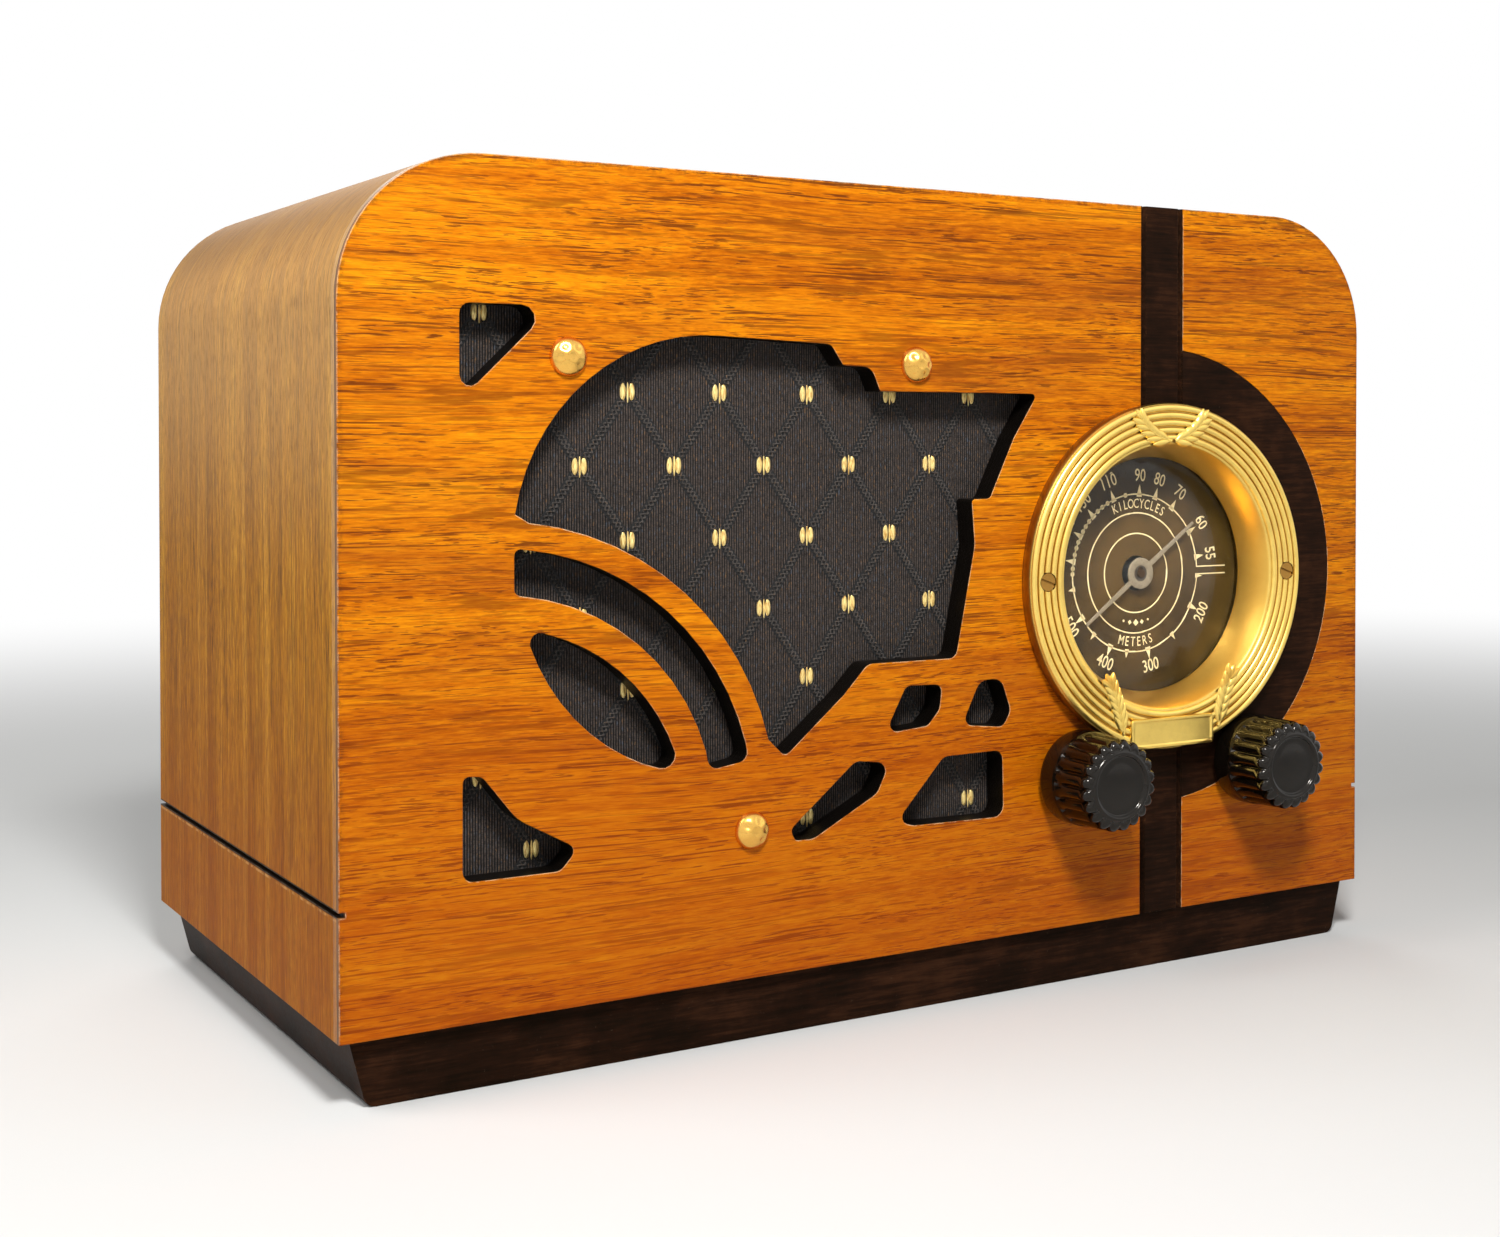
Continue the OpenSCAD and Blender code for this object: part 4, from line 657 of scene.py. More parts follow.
def add_object(name, data):
    """Puts new mesh, text, camera or lamp data into the scene."""
    made = bpy.data.objects.new(name, data)
    bpy.context.scene.collection.objects.link(made)
    return made


def new_mesh(name, verts, faces):
    mesh = bpy.data.meshes.new(name)
    mesh.from_pydata([(x * MM, y * MM, z * MM) for x, y, z in verts], [], faces)
    return mesh


def rework(mesh, change):
    """Runs a change on an editable copy of a mesh and writes the copy back."""
    work = bmesh.new()
    work.from_mesh(mesh)
    change(work)
    work.to_mesh(mesh)
    work.free()


def final_mesh(piece):
    """New mesh of a piece with its modifiers or its curves worked out."""
    bpy.context.view_layer.update()
    ready = piece.evaluated_get(bpy.context.evaluated_depsgraph_get())
    return bpy.data.meshes.new_from_object(ready)


def make(name, verts, faces, slot, body="cabinet", paint=None, smooth=True, replaces=()):
    """Makes a piece from points and lets it ride on a body."""
    mesh = new_mesh(name, verts, faces)
    mesh.validate()
    rework(mesh, lambda work: bmesh.ops.recalc_face_normals(work, faces=work.faces))
    mesh.materials.append((paint or PAINTS[slot]).material)
    piece = add_object(name, mesh)
    if smooth:
        mesh.shade_smooth()
    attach(piece, body)
    if replaces:
        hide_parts(*replaces)
    return piece


def sharpen(piece, angle=40):
    """Keeps edges steeper than an angle sharp on a smooth piece."""
    def mark(work):
        for edge in work.edges:
            steep = len(edge.link_faces) == 2 and edge.calc_face_angle(0) > radians(angle)
            edge.smooth = not steep

    rework(piece.data, mark)


def join(*parts):
    """Joins pairs of points and faces into one pair."""
    verts, faces = [], []
    for some_verts, some_faces in parts:
        start = len(verts)
        verts.extend(some_verts)
        faces.extend([tuple(i + start for i in face) for face in some_faces])
    return verts, faces


def spun(profile, x, z, steps=128, shape=None):
    """Turns a profile of (radius, y) round an axis along Y.

    shape may change a point's radius and y by its angle and its place in the profile.
    """
    rings = []
    verts = []
    for index, (radius, y) in enumerate(profile):
        if radius < 1e-6:
            rings.append([len(verts)])
            verts.append((x, y, z))
            continue
        rings.append(list(range(len(verts), len(verts) + steps)))
        for k in range(steps):
            angle = 2 * pi * k / steps
            r, level = shape(radius, y, angle, index) if shape else (radius, y)
            verts.append((x + r * cos(angle), level, z + r * sin(angle)))
    faces = []
    for low, high in zip(rings, rings[1:]):
        for k in range(steps):
            n = (k + 1) % steps
            if len(low) == 1:
                faces.append((low[0], high[k], high[n]))
            elif len(high) == 1:
                faces.append((low[k], low[n], high[0]))
            else:
                faces.append((low[k], low[n], high[n], high[k]))
    return verts, faces


def closed_spun(profile, x, z, steps=128):
    """Turns a closed profile that doesn't touch the axis."""
    verts, faces = spun(list(profile) + [profile[0]], x, z, steps)
    last = len(profile) * steps
    faces = [tuple(i - last if i >= last else i for i in face) for face in faces]
    return verts[:last], faces


def extruded(outline, y0, y1):
    """Plate between two depths from an outline of (x, z) that is star shaped round its middle."""
    n = len(outline)
    verts = [(x, y0, z) for x, z in outline] + [(x, y1, z) for x, z in outline]
    sides = [(k, (k + 1) % n, n + (k + 1) % n, n + k) for k in range(n)]
    return verts, [tuple(range(n)), tuple(range(2 * n - 1, n - 1, -1))] + sides


def grid(points, close_across=False):
    """Quads over rows of points."""
    width = len(points[0])
    verts = [p for row in points for p in row]
    faces = []
    for j in range(len(points) - 1):
        for i in range(width if close_across else width - 1):
            n = (i + 1) % width
            faces.append((j * width + i, j * width + n, (j + 1) * width + n, (j + 1) * width + i))
    return verts, faces


# Grille cloth: fine ribs, raised lattice cords with painted shadow strips under them, and pairs of gold
# stitches
RIB_DEPTH = 0.14
CLOTH_ROWS = 24
DOT_STEP_X = 24.95
DOT_STEP_Z = 36.3
DOT_OFFSET = 12.5
DOT_MARGIN = 2.0
FIRST_DOT = (LEFT_X + 73.0, WOOD_Z + 146.0)
SECOND_DOT = (LEFT_X + 60.5, WOOD_Z + 127.9)
SCALLOP_R = 45.0
CORD_R = 0.3
CORD_TURN = 2.5
CORD_SWAY = 0.72
CORD_STEP = 0.35
CORD_DEPTH = 0.24
CORD_MARGIN = 1.2
CORD_SHADOW_HALF = 1.3
DOT_CLEAR = 0.11


def scallop(x):
    """Half height of the cut round the dial at a place across, or nothing."""
    across = SCALLOP_R ** 2 - (x - DIAL.x) ** 2
    return sqrt(across) if across > 0 else 0.0


def cloth_strips():
    """Columns of the ribbed cloth, cut round the dial."""
    count = round((HIGH_X - LOW_X) / RIB_PITCH) * 4
    columns = [LOW_X + (HIGH_X - LOW_X) * i / count for i in range(count + 1)]
    split = next((i for i, x in enumerate(columns) if scallop(x) > 0), count)

    def front(i, z):
        return (columns[i], CLOTH_FRONT + RIB_DEPTH * (0.5 - 0.5 * cos(pi * i / 2)), z)

    def strip(chosen, start, end, rows):
        """Columns between a start height and the height that end gives for each of them."""
        shares = [j / rows for j in range(rows + 1)]
        return grid([[front(i, start + (end(i) - start) * share) for i in chosen] for share in shares])

    def cut(sign):
        return lambda i: DIAL.z + sign * scallop(columns[i])

    beside = range(split + 1)
    round_dial = range(split, count + 1)
    return join(
        strip(beside, LOW_Z, lambda i: HIGH_Z, CLOTH_ROWS),
        strip(round_dial, LOW_Z, cut(-1), CLOTH_ROWS // 2),
        strip(round_dial, HIGH_Z, cut(1), CLOTH_ROWS // 2),
    )


def make_cloth():
    cloth = make("grille_fabric", *cloth_strips(), "grille_cloth", replaces=["grille_cloth"])
    rework(cloth.data, lambda work: bmesh.ops.remove_doubles(work, verts=work.verts, dist=1e-6))
    return cloth


def on_cloth(x, z, margin):
    """Whether a point lies on the cloth, at least a margin from its edges."""
    inside = LOW_X + margin < x < HIGH_X - margin and LOW_Z + margin < z < HIGH_Z - margin
    return inside and (x - DIAL.x) ** 2 + (z - DIAL.z) ** 2 > (SCALLOP_R + margin) ** 2


def dots():
    """Centres of the gold stitches, in two sets of rows."""
    places = []
    for first in (FIRST_DOT, SECOND_DOT):
        for j in range(-1, 4):
            for i in range(-4, 6):
                place = (first[0] + i * DOT_STEP_X, first[1] - j * DOT_STEP_Z)
                if on_cloth(*place, DOT_MARGIN):
                    places.append(place)
    return places


def strand(start, end, phase):
    """One strand of a flat twisted cord between two dots."""
    a, b = Vector(start), Vector(end)
    length = (b - a).length
    along = (b - a) / length
    side = Vector((-along.y, along.x))
    steps = max(8, int(length / CORD_STEP))
    sides = 8
    rows = []
    for k in range(steps + 1):
        t = length * k / steps
        turn = 2 * pi * t / CORD_TURN + phase
        centre = a + along * t + side * CORD_SWAY * cos(turn)
        rise = 0.12 + 0.08 * sin(turn)
        row = []
        for n in range(sides):
            angle = 2 * pi * n / sides
            point = centre + side * (CORD_R * cos(angle))
            row.append((point.x, CLOTH_FRONT - rise - CORD_DEPTH * sin(angle), point.y))
        rows.append(row)
    return grid(rows, close_across=True)


def cord_lines():
    """Both ends of every lattice cord that lies on the cloth."""
    lines = []
    for first, side in ((FIRST_DOT, 1), (SECOND_DOT, -1)):
        for j in range(-2, 5):
            for i in range(-5, 7):
                x, z = first[0] + i * DOT_STEP_X, first[1] - j * DOT_STEP_Z
                for dx in (-DOT_OFFSET * side, (DOT_STEP_X - DOT_OFFSET) * side):
                    cut = clipped((x, z), (x + dx, z - DOT_STEP_Z / 2))
                    if cut:
                        lines.append(cut)
    return lines


def lattice():
    """All cords, each of two strands."""
    return join(*[strand(a, b, phase) for a, b in cord_lines() for phase in (0, pi)])


def lattice_grooves():
    """Painted shadow: a dark strip under each cord."""
    parts = []
    for a, b in cord_lines():
        a, b = Vector(a), Vector(b)
        along = (b - a).normalized()
        side = Vector((-along.y, along.x)) * CORD_SHADOW_HALF
        corners = [a + side, a - side, b - side, b + side]
        top = [(p.x, CLOTH_FRONT - 0.03, p.y) for p in corners]
        low = [(p.x, CLOTH_FRONT + 0.1, p.y) for p in corners]
        faces = [(0, 1, 2, 3), (7, 6, 5, 4), (0, 4, 5, 1), (1, 5, 6, 2), (2, 6, 7, 3), (3, 7, 4, 0)]
        parts.append((top + low, faces))
    return join(*parts)


def clipped(a, b):
    """The part of a line that lies on the cloth, clear of the gold stitches at its ends."""
    keep = []
    steps = 60
    for k in range(steps + 1):
        t = DOT_CLEAR + (1 - 2 * DOT_CLEAR) * k / steps
        p = (a[0] + (b[0] - a[0]) * t, a[1] + (b[1] - a[1]) * t)
        if on_cloth(*p, CORD_MARGIN):
            keep.append(p)
    return (keep[0], keep[-1]) if len(keep) > 4 else None


def stitch(x, z, half_w, half_h, rise):
    """Small domed oval that lies on the cloth."""
    rows = []
    sides = 16
    for level in range(5):
        a = pi / 2 * level / 4
        rows.append([
            (x + half_w * cos(a) * cos(2 * pi * n / sides),
             CLOTH_FRONT + 0.1 - rise * sin(a),
             z + half_h * cos(a) ** 0.8 * sin(2 * pi * n / sides))
            for n in range(sides)
        ])
    verts, faces = grid(rows, close_across=True)
    faces.append(tuple(range(len(verts) - sides, len(verts))))
    return verts, faces


def gold_dots():
    """A pair of long stitches at every dot, with a thin one between them."""
    parts = []
    for x, z in dots():
        for aside in (-1.18, 1.18):
            parts.append(stitch(x + aside, z, 0.8, 2.2, 0.36))
        parts.append(stitch(x + 0.1, z - 0.2, 0.3, 2.6, 0.24))
    return join(*parts)


cloth = make_cloth()
cords = make("grille_lattice", *lattice(), "grille_cloth", paint=CORD)
# Painted shadow: dark strips under the lattice cords
cord_shadows = make("lattice_grooves", *lattice_grooves(), "grille_cloth", paint=SHADE, smooth=False)
stitches = make("grille_stitches", *gold_dots(), "grille_cloth", paint=GOLD)

# Bezel: ribbed ring, smooth cone, sprigs of leaves and a plain plate
RIB_COUNT = 5
BEZEL_H = 4.2
RIB_RISE = 0.9
WINDOW_R = 33.5
CONE_BACK = BEZEL[1].y
TOP_Y = FACE_Y - BEZEL_H
SCREW_CIRCLE_R = 43.3
POCKET_R = 2.65
POCKET_Y = TOP_Y + 0.65


def bezel_profile():
    """Closed section of the ring: outer wall, ribs, cone and back."""
    pitch = (BEZEL_R - RING_R - 0.8) / RIB_COUNT
    points = [(RING_R, FACE_Y), (BEZEL_R - 0.5, FACE_Y), (BEZEL_R - 0.3, FACE_Y - 0.2)]
    points += [(BEZEL_R, TOP_Y + 1.2), (BEZEL_R - 0.1, TOP_Y + 0.5), (BEZEL_R - 0.4, TOP_Y)]
    for i in range(RIB_COUNT - 1, -1, -1):
        centre = RING_R + 0.4 + pitch * (i + 0.5)
        for k in range(9):
            angle = pi * k / 8
            points.append((centre + 0.46 * pitch * cos(angle), TOP_Y - RIB_RISE * sin(angle)))
    points += [(RING_R - 0.1, TOP_Y + 0.1), (RING_R - 0.5, TOP_Y + 0.6)]
    points += [(WINDOW_R + 0.1, CONE_BACK - 0.5), (WINDOW_R, CONE_BACK), (WINDOW_R + 1.2, CONE_BACK)]
    points += [(RING_R, FACE_Y + 1.2)]
    return points


def leaf(length, width, rise):
    """Points (along, across, up) of one pointed leaf with a groove along its middle."""
    rows = []
    for j in range(9):
        t = j / 8
        half = width / 2 * sin(pi * min(1.0, t * 0.94 + 0.03)) ** 0.75
        row = []
        for i in range(7):
            s = i / 3 - 1
            crown = rise * (1 - s * s) * (0.35 + 0.65 * sin(pi * (0.1 + 0.8 * t)))
            crown -= 0.12 * rise * max(0.0, 1 - abs(s) * 4)
            row.append((length * t, half * s, crown))
        rows.append(row)
    return rows


def set_leaf(at, direction, length, width, rise, base):
    """A leaf on the bezel, from its foot at (across, up) of the dial."""
    c, s = cos(direction), sin(direction)
    rows = []
    for row in leaf(length, width, rise):
        rows.append([
            (DIAL.x + at[0] + u * c - v * s, base - h, DIAL.z + at[1] + u * s + v * c) for u, v, h in row
        ])
    return grid(rows)


def sprig(foot, side, bend, length, count):
    """Curved stem with pairs of leaves and one at its end. bend is its first and last slope in degrees."""
    base = TOP_Y - RIB_RISE + 0.25
    steps = 24
    points = [Vector(foot)]
    slopes = []
    for k in range(steps + 1):
        angle = radians(bend[0] + (bend[1] - bend[0]) * k / steps)
        slopes.append(angle if side > 0 else pi - angle)
        points.append(points[-1] + Vector((cos(slopes[-1]), sin(slopes[-1]))) * length / steps)
    rows = []
    for point, slope in zip(points, slopes):
        across = Vector((-sin(slope), cos(slope)))
        row = []
        for w, h in ((-0.65, -0.3), (-0.45, 0.35), (0, 0.7), (0.45, 0.35), (0.65, -0.3)):
            at = point + across * w
            row.append((DIAL.x + at.x, base - h, DIAL.z + at.y))
        rows.append(row)
    parts = [grid(rows)]
    for k in range(count):
        share = (k + 0.35) / count
        index = int(share * steps)
        size = 6.2 - 1.6 * share
        for turn in (-1, 1):
            lean = radians(20 + 8 * share) * turn
            parts.append(set_leaf(points[index], slopes[index] + lean, size, 2.5, 1.0, base + 0.1))
    parts.append(set_leaf(points[steps - 2], slopes[-1], 4.4, 2.2, 0.9, base + 0.1))
    return join(*parts)


def bezel_plate(width, height):
    """Plain plate with a raised border, at the foot of the ring."""
    base = TOP_Y - RIB_RISE + 0.4
    low = -BEZEL_R + 0.8
    loops = []
    for inset, y in ((0, base + 0.6), (0, base - 0.5), (0.25, base - 0.85), (0.8, base - 0.85),
                     (1.05, base - 0.55), (1.4, base - 0.5)):
        w, h = width / 2 - inset, height - 2 * inset
        corner = max(0.15, 1.2 - inset)
        loop = []
        for cx, cz, a0 in ((w, h, 0), (-w, h, 90), (-w, 0, 180), (w, 0, 270)):
            for k in range(5):
                a = radians(a0 + 22.5 * k)
                px = cx - copysign(corner, cx) + corner * cos(a)
                pz = (cz - corner if cz else corner) + corner * sin(a)
                loop.append((DIAL.x + px, y, DIAL.z + low + inset + pz))
        loops.append(loop)
    verts, faces = grid(loops, close_across=True)
    faces.append(tuple(range(len(verts) - 20, len(verts))))
    return verts, faces


def carve(piece, *cutters):
    """Cuts closed meshes, given as points and faces, out of a piece."""
    for verts, faces in cutters:
        tool = add_object("cutter", new_mesh("cutter", verts, faces))
        cut = piece.modifiers.new("cut", "BOOLEAN")
        cut.object = tool
        cut.solver = "EXACT"
        result = final_mesh(piece)
        piece.modifiers.clear()
        piece.data = result
        bpy.data.objects.remove(tool)
    return piece


def make_bezel():
    ring_shape = closed_spun(bezel_profile(), DIAL.x, DIAL.z, 192)
    ring = make("bezel_ring", *ring_shape, "satin_brass", replaces=["dial_bezel"])
    open_y = TOP_Y - 3
    pocket = [(0, open_y), (POCKET_R, open_y), (POCKET_R, POCKET_Y), (0, POCKET_Y)]
    pockets = [spun(pocket, DIAL.x + side * SCREW_CIRCLE_R, DIAL.z, 48) for side in (-1, 1)]
    sharpen(carve(ring, *pockets))
    sprigs = []
    for side in (-1, 1):
        sprigs.append(sprig((side * 0.6, RING_R + 0.6), side, (8, 54), 12.6, 5))
        sprigs.append(sprig((side * 17.3, -BEZEL_R + 5.4), side, (80, 64), 15.5, 6))
    make("bezel_leaves", *join(*sprigs), "satin_brass")
    sharpen(make("bezel_plate", *bezel_plate(30.0, 8.6), "satin_brass"), 50)


make_bezel()

# Dial figures, printed on the card: values with their angles, and the angles of plain marks
PRINT_Y = CARD_Y - 0.05
PRINT_T = 0.04
SCALE_R = 22.7
CIRCLES = (17.3, 11.4)
NUMBER_R = 28.0
FIGURE = 5.1
KILOCYCLES = (
    (55, 10), (60, 30), (70, 54.5), (80, 72), (90, 87), (110, 111), (130, 133), (150, 151), (170, 170),
)
METRES = ((200, -27), (300, -78.5), (400, -114), (500, -148))
KILOCYCLE_DOTS = (99.8, 117, 122.5, 127.5, 138, 142.7, 147, 155.5, 160, 165, 175, 179)
METRE_POINTS = (-4, -53.8, -98.3, -131.6, -170)
TICK = [(-0.7, -0.95), (0.2, -0.75), (2.9, 0), (0.2, 0.75), (-0.7, 0.95)]
SMALL_TICK = [(-0.6, -0.7), (0.1, -0.6), (1.9, 0), (0.1, 0.6), (-0.6, 0.7)]
DOT = [(0.7 * cos(2 * pi * k / 14), 0.7 * sin(2 * pi * k / 14)) for k in range(14)]
DIAMONDS = ((252, 0.45), (261, 0.7), (270, 1.0), (279, 0.7), (288, 0.45))


def flat_ring(r0, r1, a0=0.0, a1=360.0, steps=180):
    """Thin printed ring or arc."""
    whole = a1 - a0 >= 360
    n = max(4, int(steps * (a1 - a0) / 360))
    rows = []
    for k in range(n if whole else n + 1):
        a = radians(a0 + (a1 - a0) * k / n)
        rows.append([
            (DIAL.x + r * cos(a), y, DIAL.z + r * sin(a))
            for r, y in ((r0, PRINT_Y + PRINT_T), (r0, PRINT_Y), (r1, PRINT_Y), (r1, PRINT_Y + PRINT_T))
        ])
    if whole:
        rows.append(rows[0])
    return grid(rows)


def flat_shape(points, angle, radius):
    """Printed outline of (outward, sideways) points, set at an angle and radius."""
    c, s = cos(radians(angle)), sin(radians(angle))
    outline = []
    for out, aside in points:
        r = radius + out
        outline.append((DIAL.x + r * c - aside * s, DIAL.z + r * s + aside * c))
    return extruded(outline, PRINT_Y, PRINT_Y + PRINT_T)


def flat_text(text, size, angle, radius, tops_out=True, narrow=0.8, bold=0.006):
    """Printed text along the scale, tops outward or inward."""
    data = bpy.data.curves.new("figure", "FONT")
    data.body = text
    data.size = size
    data.align_x = "CENTER"
    data.align_y = "CENTER"
    data.offset = size * bold
    data.resolution_u = 4
    writer = add_object("figure", data)
    mesh = final_mesh(writer)
    bpy.data.objects.remove(writer)
    way = 1 if tops_out else -1
    out = Vector((cos(radians(angle)), sin(radians(angle))))
    right = Vector((out.y, -out.x)) * way
    verts = []
    for v in mesh.vertices:
        p = out * (radius + way * v.co.y) + right * v.co.x * narrow
        verts.append((DIAL.x + p.x, PRINT_Y, DIAL.z + p.y))
    faces = [tuple(f.vertices) for f in mesh.polygons]
    bpy.data.meshes.remove(mesh)
    return verts, faces


def arc_word(text, size, middle_angle, step, radius, tops_out=True):
    """Word along an arc, one letter at a time."""
    turn = -step if tops_out else step
    first = middle_angle - turn * (len(text) - 1) / 2
    return [flat_text(c, size, first + turn * i, radius, tops_out, 0.74, 0.004) for i, c in enumerate(text)]


def figures():
    """Everything printed on the card in cream."""
    parts = [flat_ring(r - 0.19, r + 0.19) for r in CIRCLES]
    parts.append(flat_ring(SCALE_R - 0.2, SCALE_R + 0.2, 2.9, 357.1))
    for number, angle in KILOCYCLES:
        parts.append(flat_text(str(number), FIGURE, angle, NUMBER_R))
        parts.append(flat_shape(TICK, angle, SCALE_R))
    for number, angle in METRES:
        parts.append(flat_text(str(number), FIGURE, angle, NUMBER_R - 0.5, tops_out=False))
        parts.append(flat_shape(TICK, angle, SCALE_R))
    for angle in METRE_POINTS:
        parts.append(flat_shape(SMALL_TICK, angle, SCALE_R))
    for angle in KILOCYCLE_DOTS:
        parts.append(flat_shape(DOT, angle, SCALE_R))
    for aside in (-1.1, 1.1):
        ends = [(-0.2, aside - 0.17), (10.6, aside - 0.17), (10.6, aside + 0.17), (-0.2, aside + 0.17)]
        parts.append(flat_shape(ends, 0, SCALE_R))
    parts += arc_word("KILOCYCLES", 3.9, 87, 5.7, 19.9)
    parts += arc_word("METERS", 3.9, 270, 6.2, 19.9, tops_out=False)
    for angle, size in DIAMONDS:
        parts.append(flat_shape([(-size, 0), (0, -size), (size, 0), (0, size)], angle, 14.3))
    return join(*parts)


make("dial_figures", *figures(), "dial_print", paint=CREAM, smooth=False)

# Pointer: ring hub with a pear shaped hole and two tapered arms
POINTER_REST = radians(36)
POINTER_LEN = 24.0
HUB_R = 4.5
# Share of the way from the hole to the rim of the hub, and depth behind its front
HUB_LEVELS = (
    (0.0, 0.5), (0.0, 0.2), (0.06, 0.16), (0.42, 0.16), (0.5, 0.0), (0.92, 0.0), (1.0, 0.12), (1.0, 0.5),
)


def pear(angle):
    """Radius of the hub's hole by angle."""
    return 0.95 + 0.95 * max(0.0, cos(angle - radians(90))) ** 5


def pointer_mesh():
    """Flat hand: a hub with a sunk middle and a pear shaped hole, and two arms that taper."""
    c, s = cos(POINTER_REST), sin(POINTER_REST)
    steps = 64
    loops = []
    for share, y in HUB_LEVELS:
        loop = []
        for k in range(steps):
            a = 2 * pi * k / steps
            hole = pear(a) if share < 0.4 else pear(pi)
            r = hole * (1 - share) + HUB_R * share
            loop.append((DIAL.x + r * cos(a), POINTER_Y + y, DIAL.z + r * sin(a)))
        loops.append(loop)
    loops.append(loops[0])
    hub = grid(loops, close_across=True)
    arms = []
    for side in (-1, 1):
        rows = []
        for k in range(13):
            t = k / 12
            u = side * (HUB_R - 0.4 + (POINTER_LEN - HUB_R + 0.4) * t)
            half = 0.78 - 0.34 * t
            row = []
            for w, y in ((-half, 0.45), (-half, 0.15), (0, 0.02), (half, 0.15), (half, 0.45)):
                row.append((DIAL.x + u * c - w * s, POINTER_Y + y, DIAL.z + u * s + w * c))
            rows.append(row)
        verts, faces = grid(rows, close_across=True)
        faces.append(tuple(range(4, -1, -1)))
        faces.append(tuple(range(len(verts) - 5, len(verts))))
        arms.append((verts, faces))
    return join(hub, *arms)


sharpen(make("pointer_hand", *pointer_mesh(), "pointer_metal", "dial_rotor", replaces=["pointer"]), 35)

# Knobs: fluted moulding with a ring round its recessed face
FLUTES = 20
FLUTE_DEPTH = 1.5
SKIRT = 7.0
# Inset from the rim and depth behind the front, over the ring and into the recessed face
FACE_RING = (
    (3.3, 0.55), (3.5, 0.3), (3.8, 0.05), (4.2, 0), (4.6, 0.08), (4.85, 0.4), (5.0, 0.9), (5.4, 0.95),
    (7.4, 0.75), (9.6, 0.6),
)


def knob(name, node, body):
    """Knob in the place of its CAD node: plain skirt, fluted grip, rounded front and recessed face."""
    low, high = node_box(node)
    x, z = (low.x + high.x) / 2, (low.z + high.z) / 2
    r = (high.x - low.x) / 2
    face, back = low.y, high.y
    step = back - SKIRT
    profile = [(0, back), (3.4, back), (r - 1.2, back), (r - 0.5, back - 0.15), (r - 0.1, back - 0.6)]
    profile += [(r, back - 1.4), (r, back - 4), (r, step + 1.2), (r - 0.05, step + 0.5), (r - 0.25, step)]
    plain = len(profile)
    for k in range(9):
        profile.append((r - 0.3 - 0.03 * k, step - 0.3 - (step - 0.3 - face - 2.4) * k / 8))
    for k in range(9):
        a = pi / 2 * k / 8
        profile.append((r - 2.5 + 1.96 * cos(a), face + 2.4 - 2.1 * sin(a)))
    fluted = len(profile)
    profile += [(r - inset, face + depth) for inset, depth in FACE_RING]
    profile += [(1.2, face + 0.55), (0, face + 0.55)]

    def flute(radius, y, angle, index):
        if not plain <= index < fluted:
            return radius, y
        wave = abs(sin(FLUTES * angle / 2))
        start = min(1.0, (index - plain + 0.4) / 2.5)
        return radius - FLUTE_DEPTH * (1 - wave ** 0.7) * start, y

    make(name, *spun(profile, x, z, FLUTES * 12, flute), "bakelite_black", body, replaces=[node])


knob("tuning_knob_fluted", "tuning_knob", "tuning")
knob("volume_knob_fluted", "volume_knob", "volume")

# Hammered brass bolts that hold the speaker
BOLT_CIRCLE_R = 68.5
BOLT_ANGLES = (45, 135, 270)
BOLT_R = 2.0
DOME_R = 4.75
DOME_RINGS = 14
DENTS = 5
DENT_CIRCLE_R = 2.75
SPEAKER = middle("cone_surround")


def hammered_bolt(index):
    """Domed head with dents round a small flat top, and its shank."""
    front, back = (corner.y for corner in node_box("panel_bolts"))
    rise = FACE_Y - front
    place = radians(BOLT_ANGLES[index])
    x = SPEAKER.x + BOLT_CIRCLE_R * cos(place)
    z = SPEAKER.z + BOLT_CIRCLE_R * sin(place)
    profile = [(0, front + 0.3)]
    profile += [(DOME_R * k / DOME_RINGS, 0.0) for k in range(1, DOME_RINGS + 1)]
    profile += [(DOME_R, FACE_Y), (BOLT_R, FACE_Y), (BOLT_R, back), (0, back)]

    def hammer(radius, y, angle, step):
        if step > DOME_RINGS:
            return radius, y
        share = radius / DOME_R
        height = rise * (1 - share ** 2.3) ** 0.62
        height -= 0.3 * max(0.0, 1 - (share / 0.28) ** 2)
        for dent in range(DENTS):
            at = 2 * pi * (dent + 0.23 * sin(5.1 * dent + 2.3 * index)) / DENTS + 0.7 * index
            du = radius * cos(angle) - DENT_CIRCLE_R * cos(at)
            dv = radius * sin(angle) - DENT_CIRCLE_R * sin(at)
            height -= 0.42 * exp(-(du * du + dv * dv) / 0.75)
        return radius, FACE_Y - max(0.05, height)

    return spun(profile, x, z, 72, hammer)


bolts = join(*[hammered_bolt(index) for index in range(len(BOLT_ANGLES))])
make("hammered_bolts", *bolts, "polished_brass", replaces=["panel_bolts"])

# Camera, floor, world and lamps, with lengths in metres
# The camera was solved from the straight edges and circles of the photograph
CAMERA_AT = Vector((-0.29126, -0.52793, 0.15165))
CAMERA_FORWARD = Vector((0.55699, 0.83036, -0.01631))
CAMERA_UP = Vector((0.00820, 0.01414, 0.99987))
CAMERA_LENS = 49.24
CAMERA_SHIFT = (-0.1459, -0.1004)
FLOOR_HALF = 40.0
# Distances in millimetres between which the floor turns white
FADE_FROM, FADE_TO = 330.0, 1300.0
WORLD_LIGHT = 0.1
TARGET = Vector((0.0, 0.0, 0.11))
# Place, size and power of each lamp
LAMPS = {
    "key": ((-0.2, -0.52, 0.62), (0.14, 0.14), 5.7),
    "left": ((-0.46, 0.0, 0.54), (0.3, 0.3), 1.7),
    "right": ((0.9, -0.9, 0.9), (0.7, 0.7), 0.9),
    "back": ((0.4, 1.4, 0.9), (1.0, 0.8), 7.0),
}


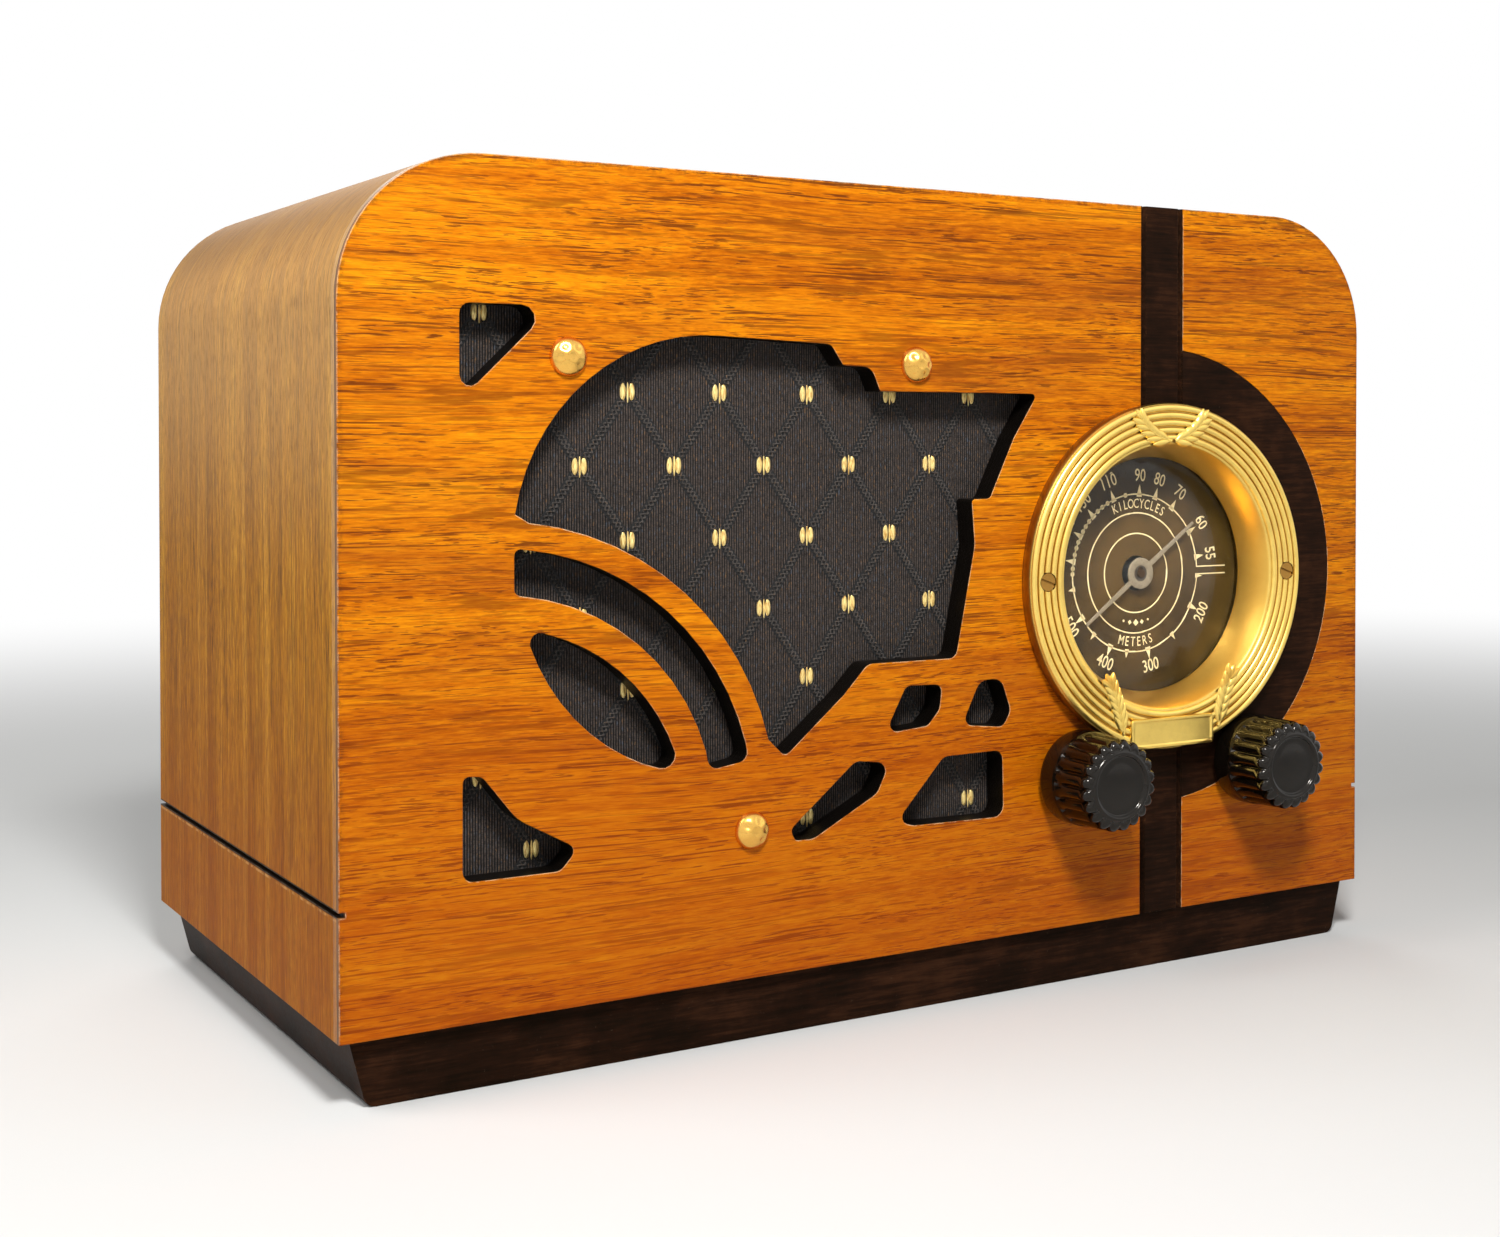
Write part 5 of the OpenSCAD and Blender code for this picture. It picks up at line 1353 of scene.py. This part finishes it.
def make_camera():
    data = bpy.data.cameras.new("camera")
    data.lens = CAMERA_LENS
    data.sensor_width = 36.0
    data.shift_x, data.shift_y = CAMERA_SHIFT
    data.clip_start = 0.01
    camera = add_object("camera", data)
    forward = CAMERA_FORWARD.normalized()
    right = forward.cross(CAMERA_UP).normalized()
    turn = Matrix((right, right.cross(forward), -forward)).transposed()
    camera.matrix_world = Matrix.Translation(CAMERA_AT) @ turn.to_4x4()
    bpy.context.scene.camera = camera


def make_floor():
    """Pale floor that keeps the shadow near the object and turns white far from it."""
    half = FLOOR_HALF / MM
    corners = [(-half, -half, 0), (half, -half, 0), (half, half, 0), (-half, half, 0)]
    mesh = new_mesh("floor", corners, [(0, 1, 2, 3)])
    paint = Paint("floor_paper", Roughness=0.9, Specular_IOR_Level=0.1)
    paint.colour(srgb(224, 224, 222))
    length = paint.node("VectorMath", operation="LENGTH")
    paint.feed(length.inputs[0], paint.place())
    far = paint.steps(length.outputs["Value"], FADE_FROM, FADE_TO)
    path = paint.node("LightPath")
    seen = paint.most(path.outputs["Is Camera Ray"], path.outputs["Is Glossy Ray"])
    seen = paint.most(seen, path.outputs["Is Transmission Ray"])
    paint.blend(far * seen, paint.shader, paint.node("Emission"))
    mesh.materials.append(paint.material)
    add_object("floor", mesh)


def make_lamp(name, at, size, power):
    """Square or oblong lamp that looks at the object."""
    data = bpy.data.lights.new(name, "AREA")
    data.shape = "RECTANGLE"
    data.size, data.size_y = size
    data.energy = power
    lamp = add_object(name, data)
    lamp.location = at
    lamp.rotation_euler = (TARGET - Vector(at)).to_track_quat("-Z", "Y").to_euler()


def make_world():
    """White where the camera, gloss or glass sees it, and a dim even light on the object."""
    world = bpy.data.worlds.new("studio")
    bpy.context.scene.world = world
    world.use_nodes = True
    tree = world.node_tree
    shade = tree.nodes["Background"]
    shade.inputs[0].default_value = (1, 1, 1, 1)
    path = tree.nodes.new("ShaderNodeLightPath").outputs

    def add(a, b, kind="MAXIMUM"):
        made = tree.nodes.new("ShaderNodeMath")
        made.operation = kind
        for socket, value in zip(made.inputs, (a, b)):
            if isinstance(value, bpy.types.NodeSocket):
                tree.links.new(value, socket)
            else:
                socket.default_value = value
        return made.outputs[0]

    seen = add(path["Is Camera Ray"], add(path["Is Glossy Ray"], path["Is Transmission Ray"]))
    strength = add(add(seen, 1.0 - WORLD_LIGHT, "MULTIPLY"), WORLD_LIGHT, "ADD")
    tree.links.new(strength, shade.inputs[1])


make_camera()
make_floor()
make_world()
for name, (at, size, power) in LAMPS.items():
    make_lamp(name, at, size, power)
bpy.context.scene.view_settings.view_transform = "Standard"
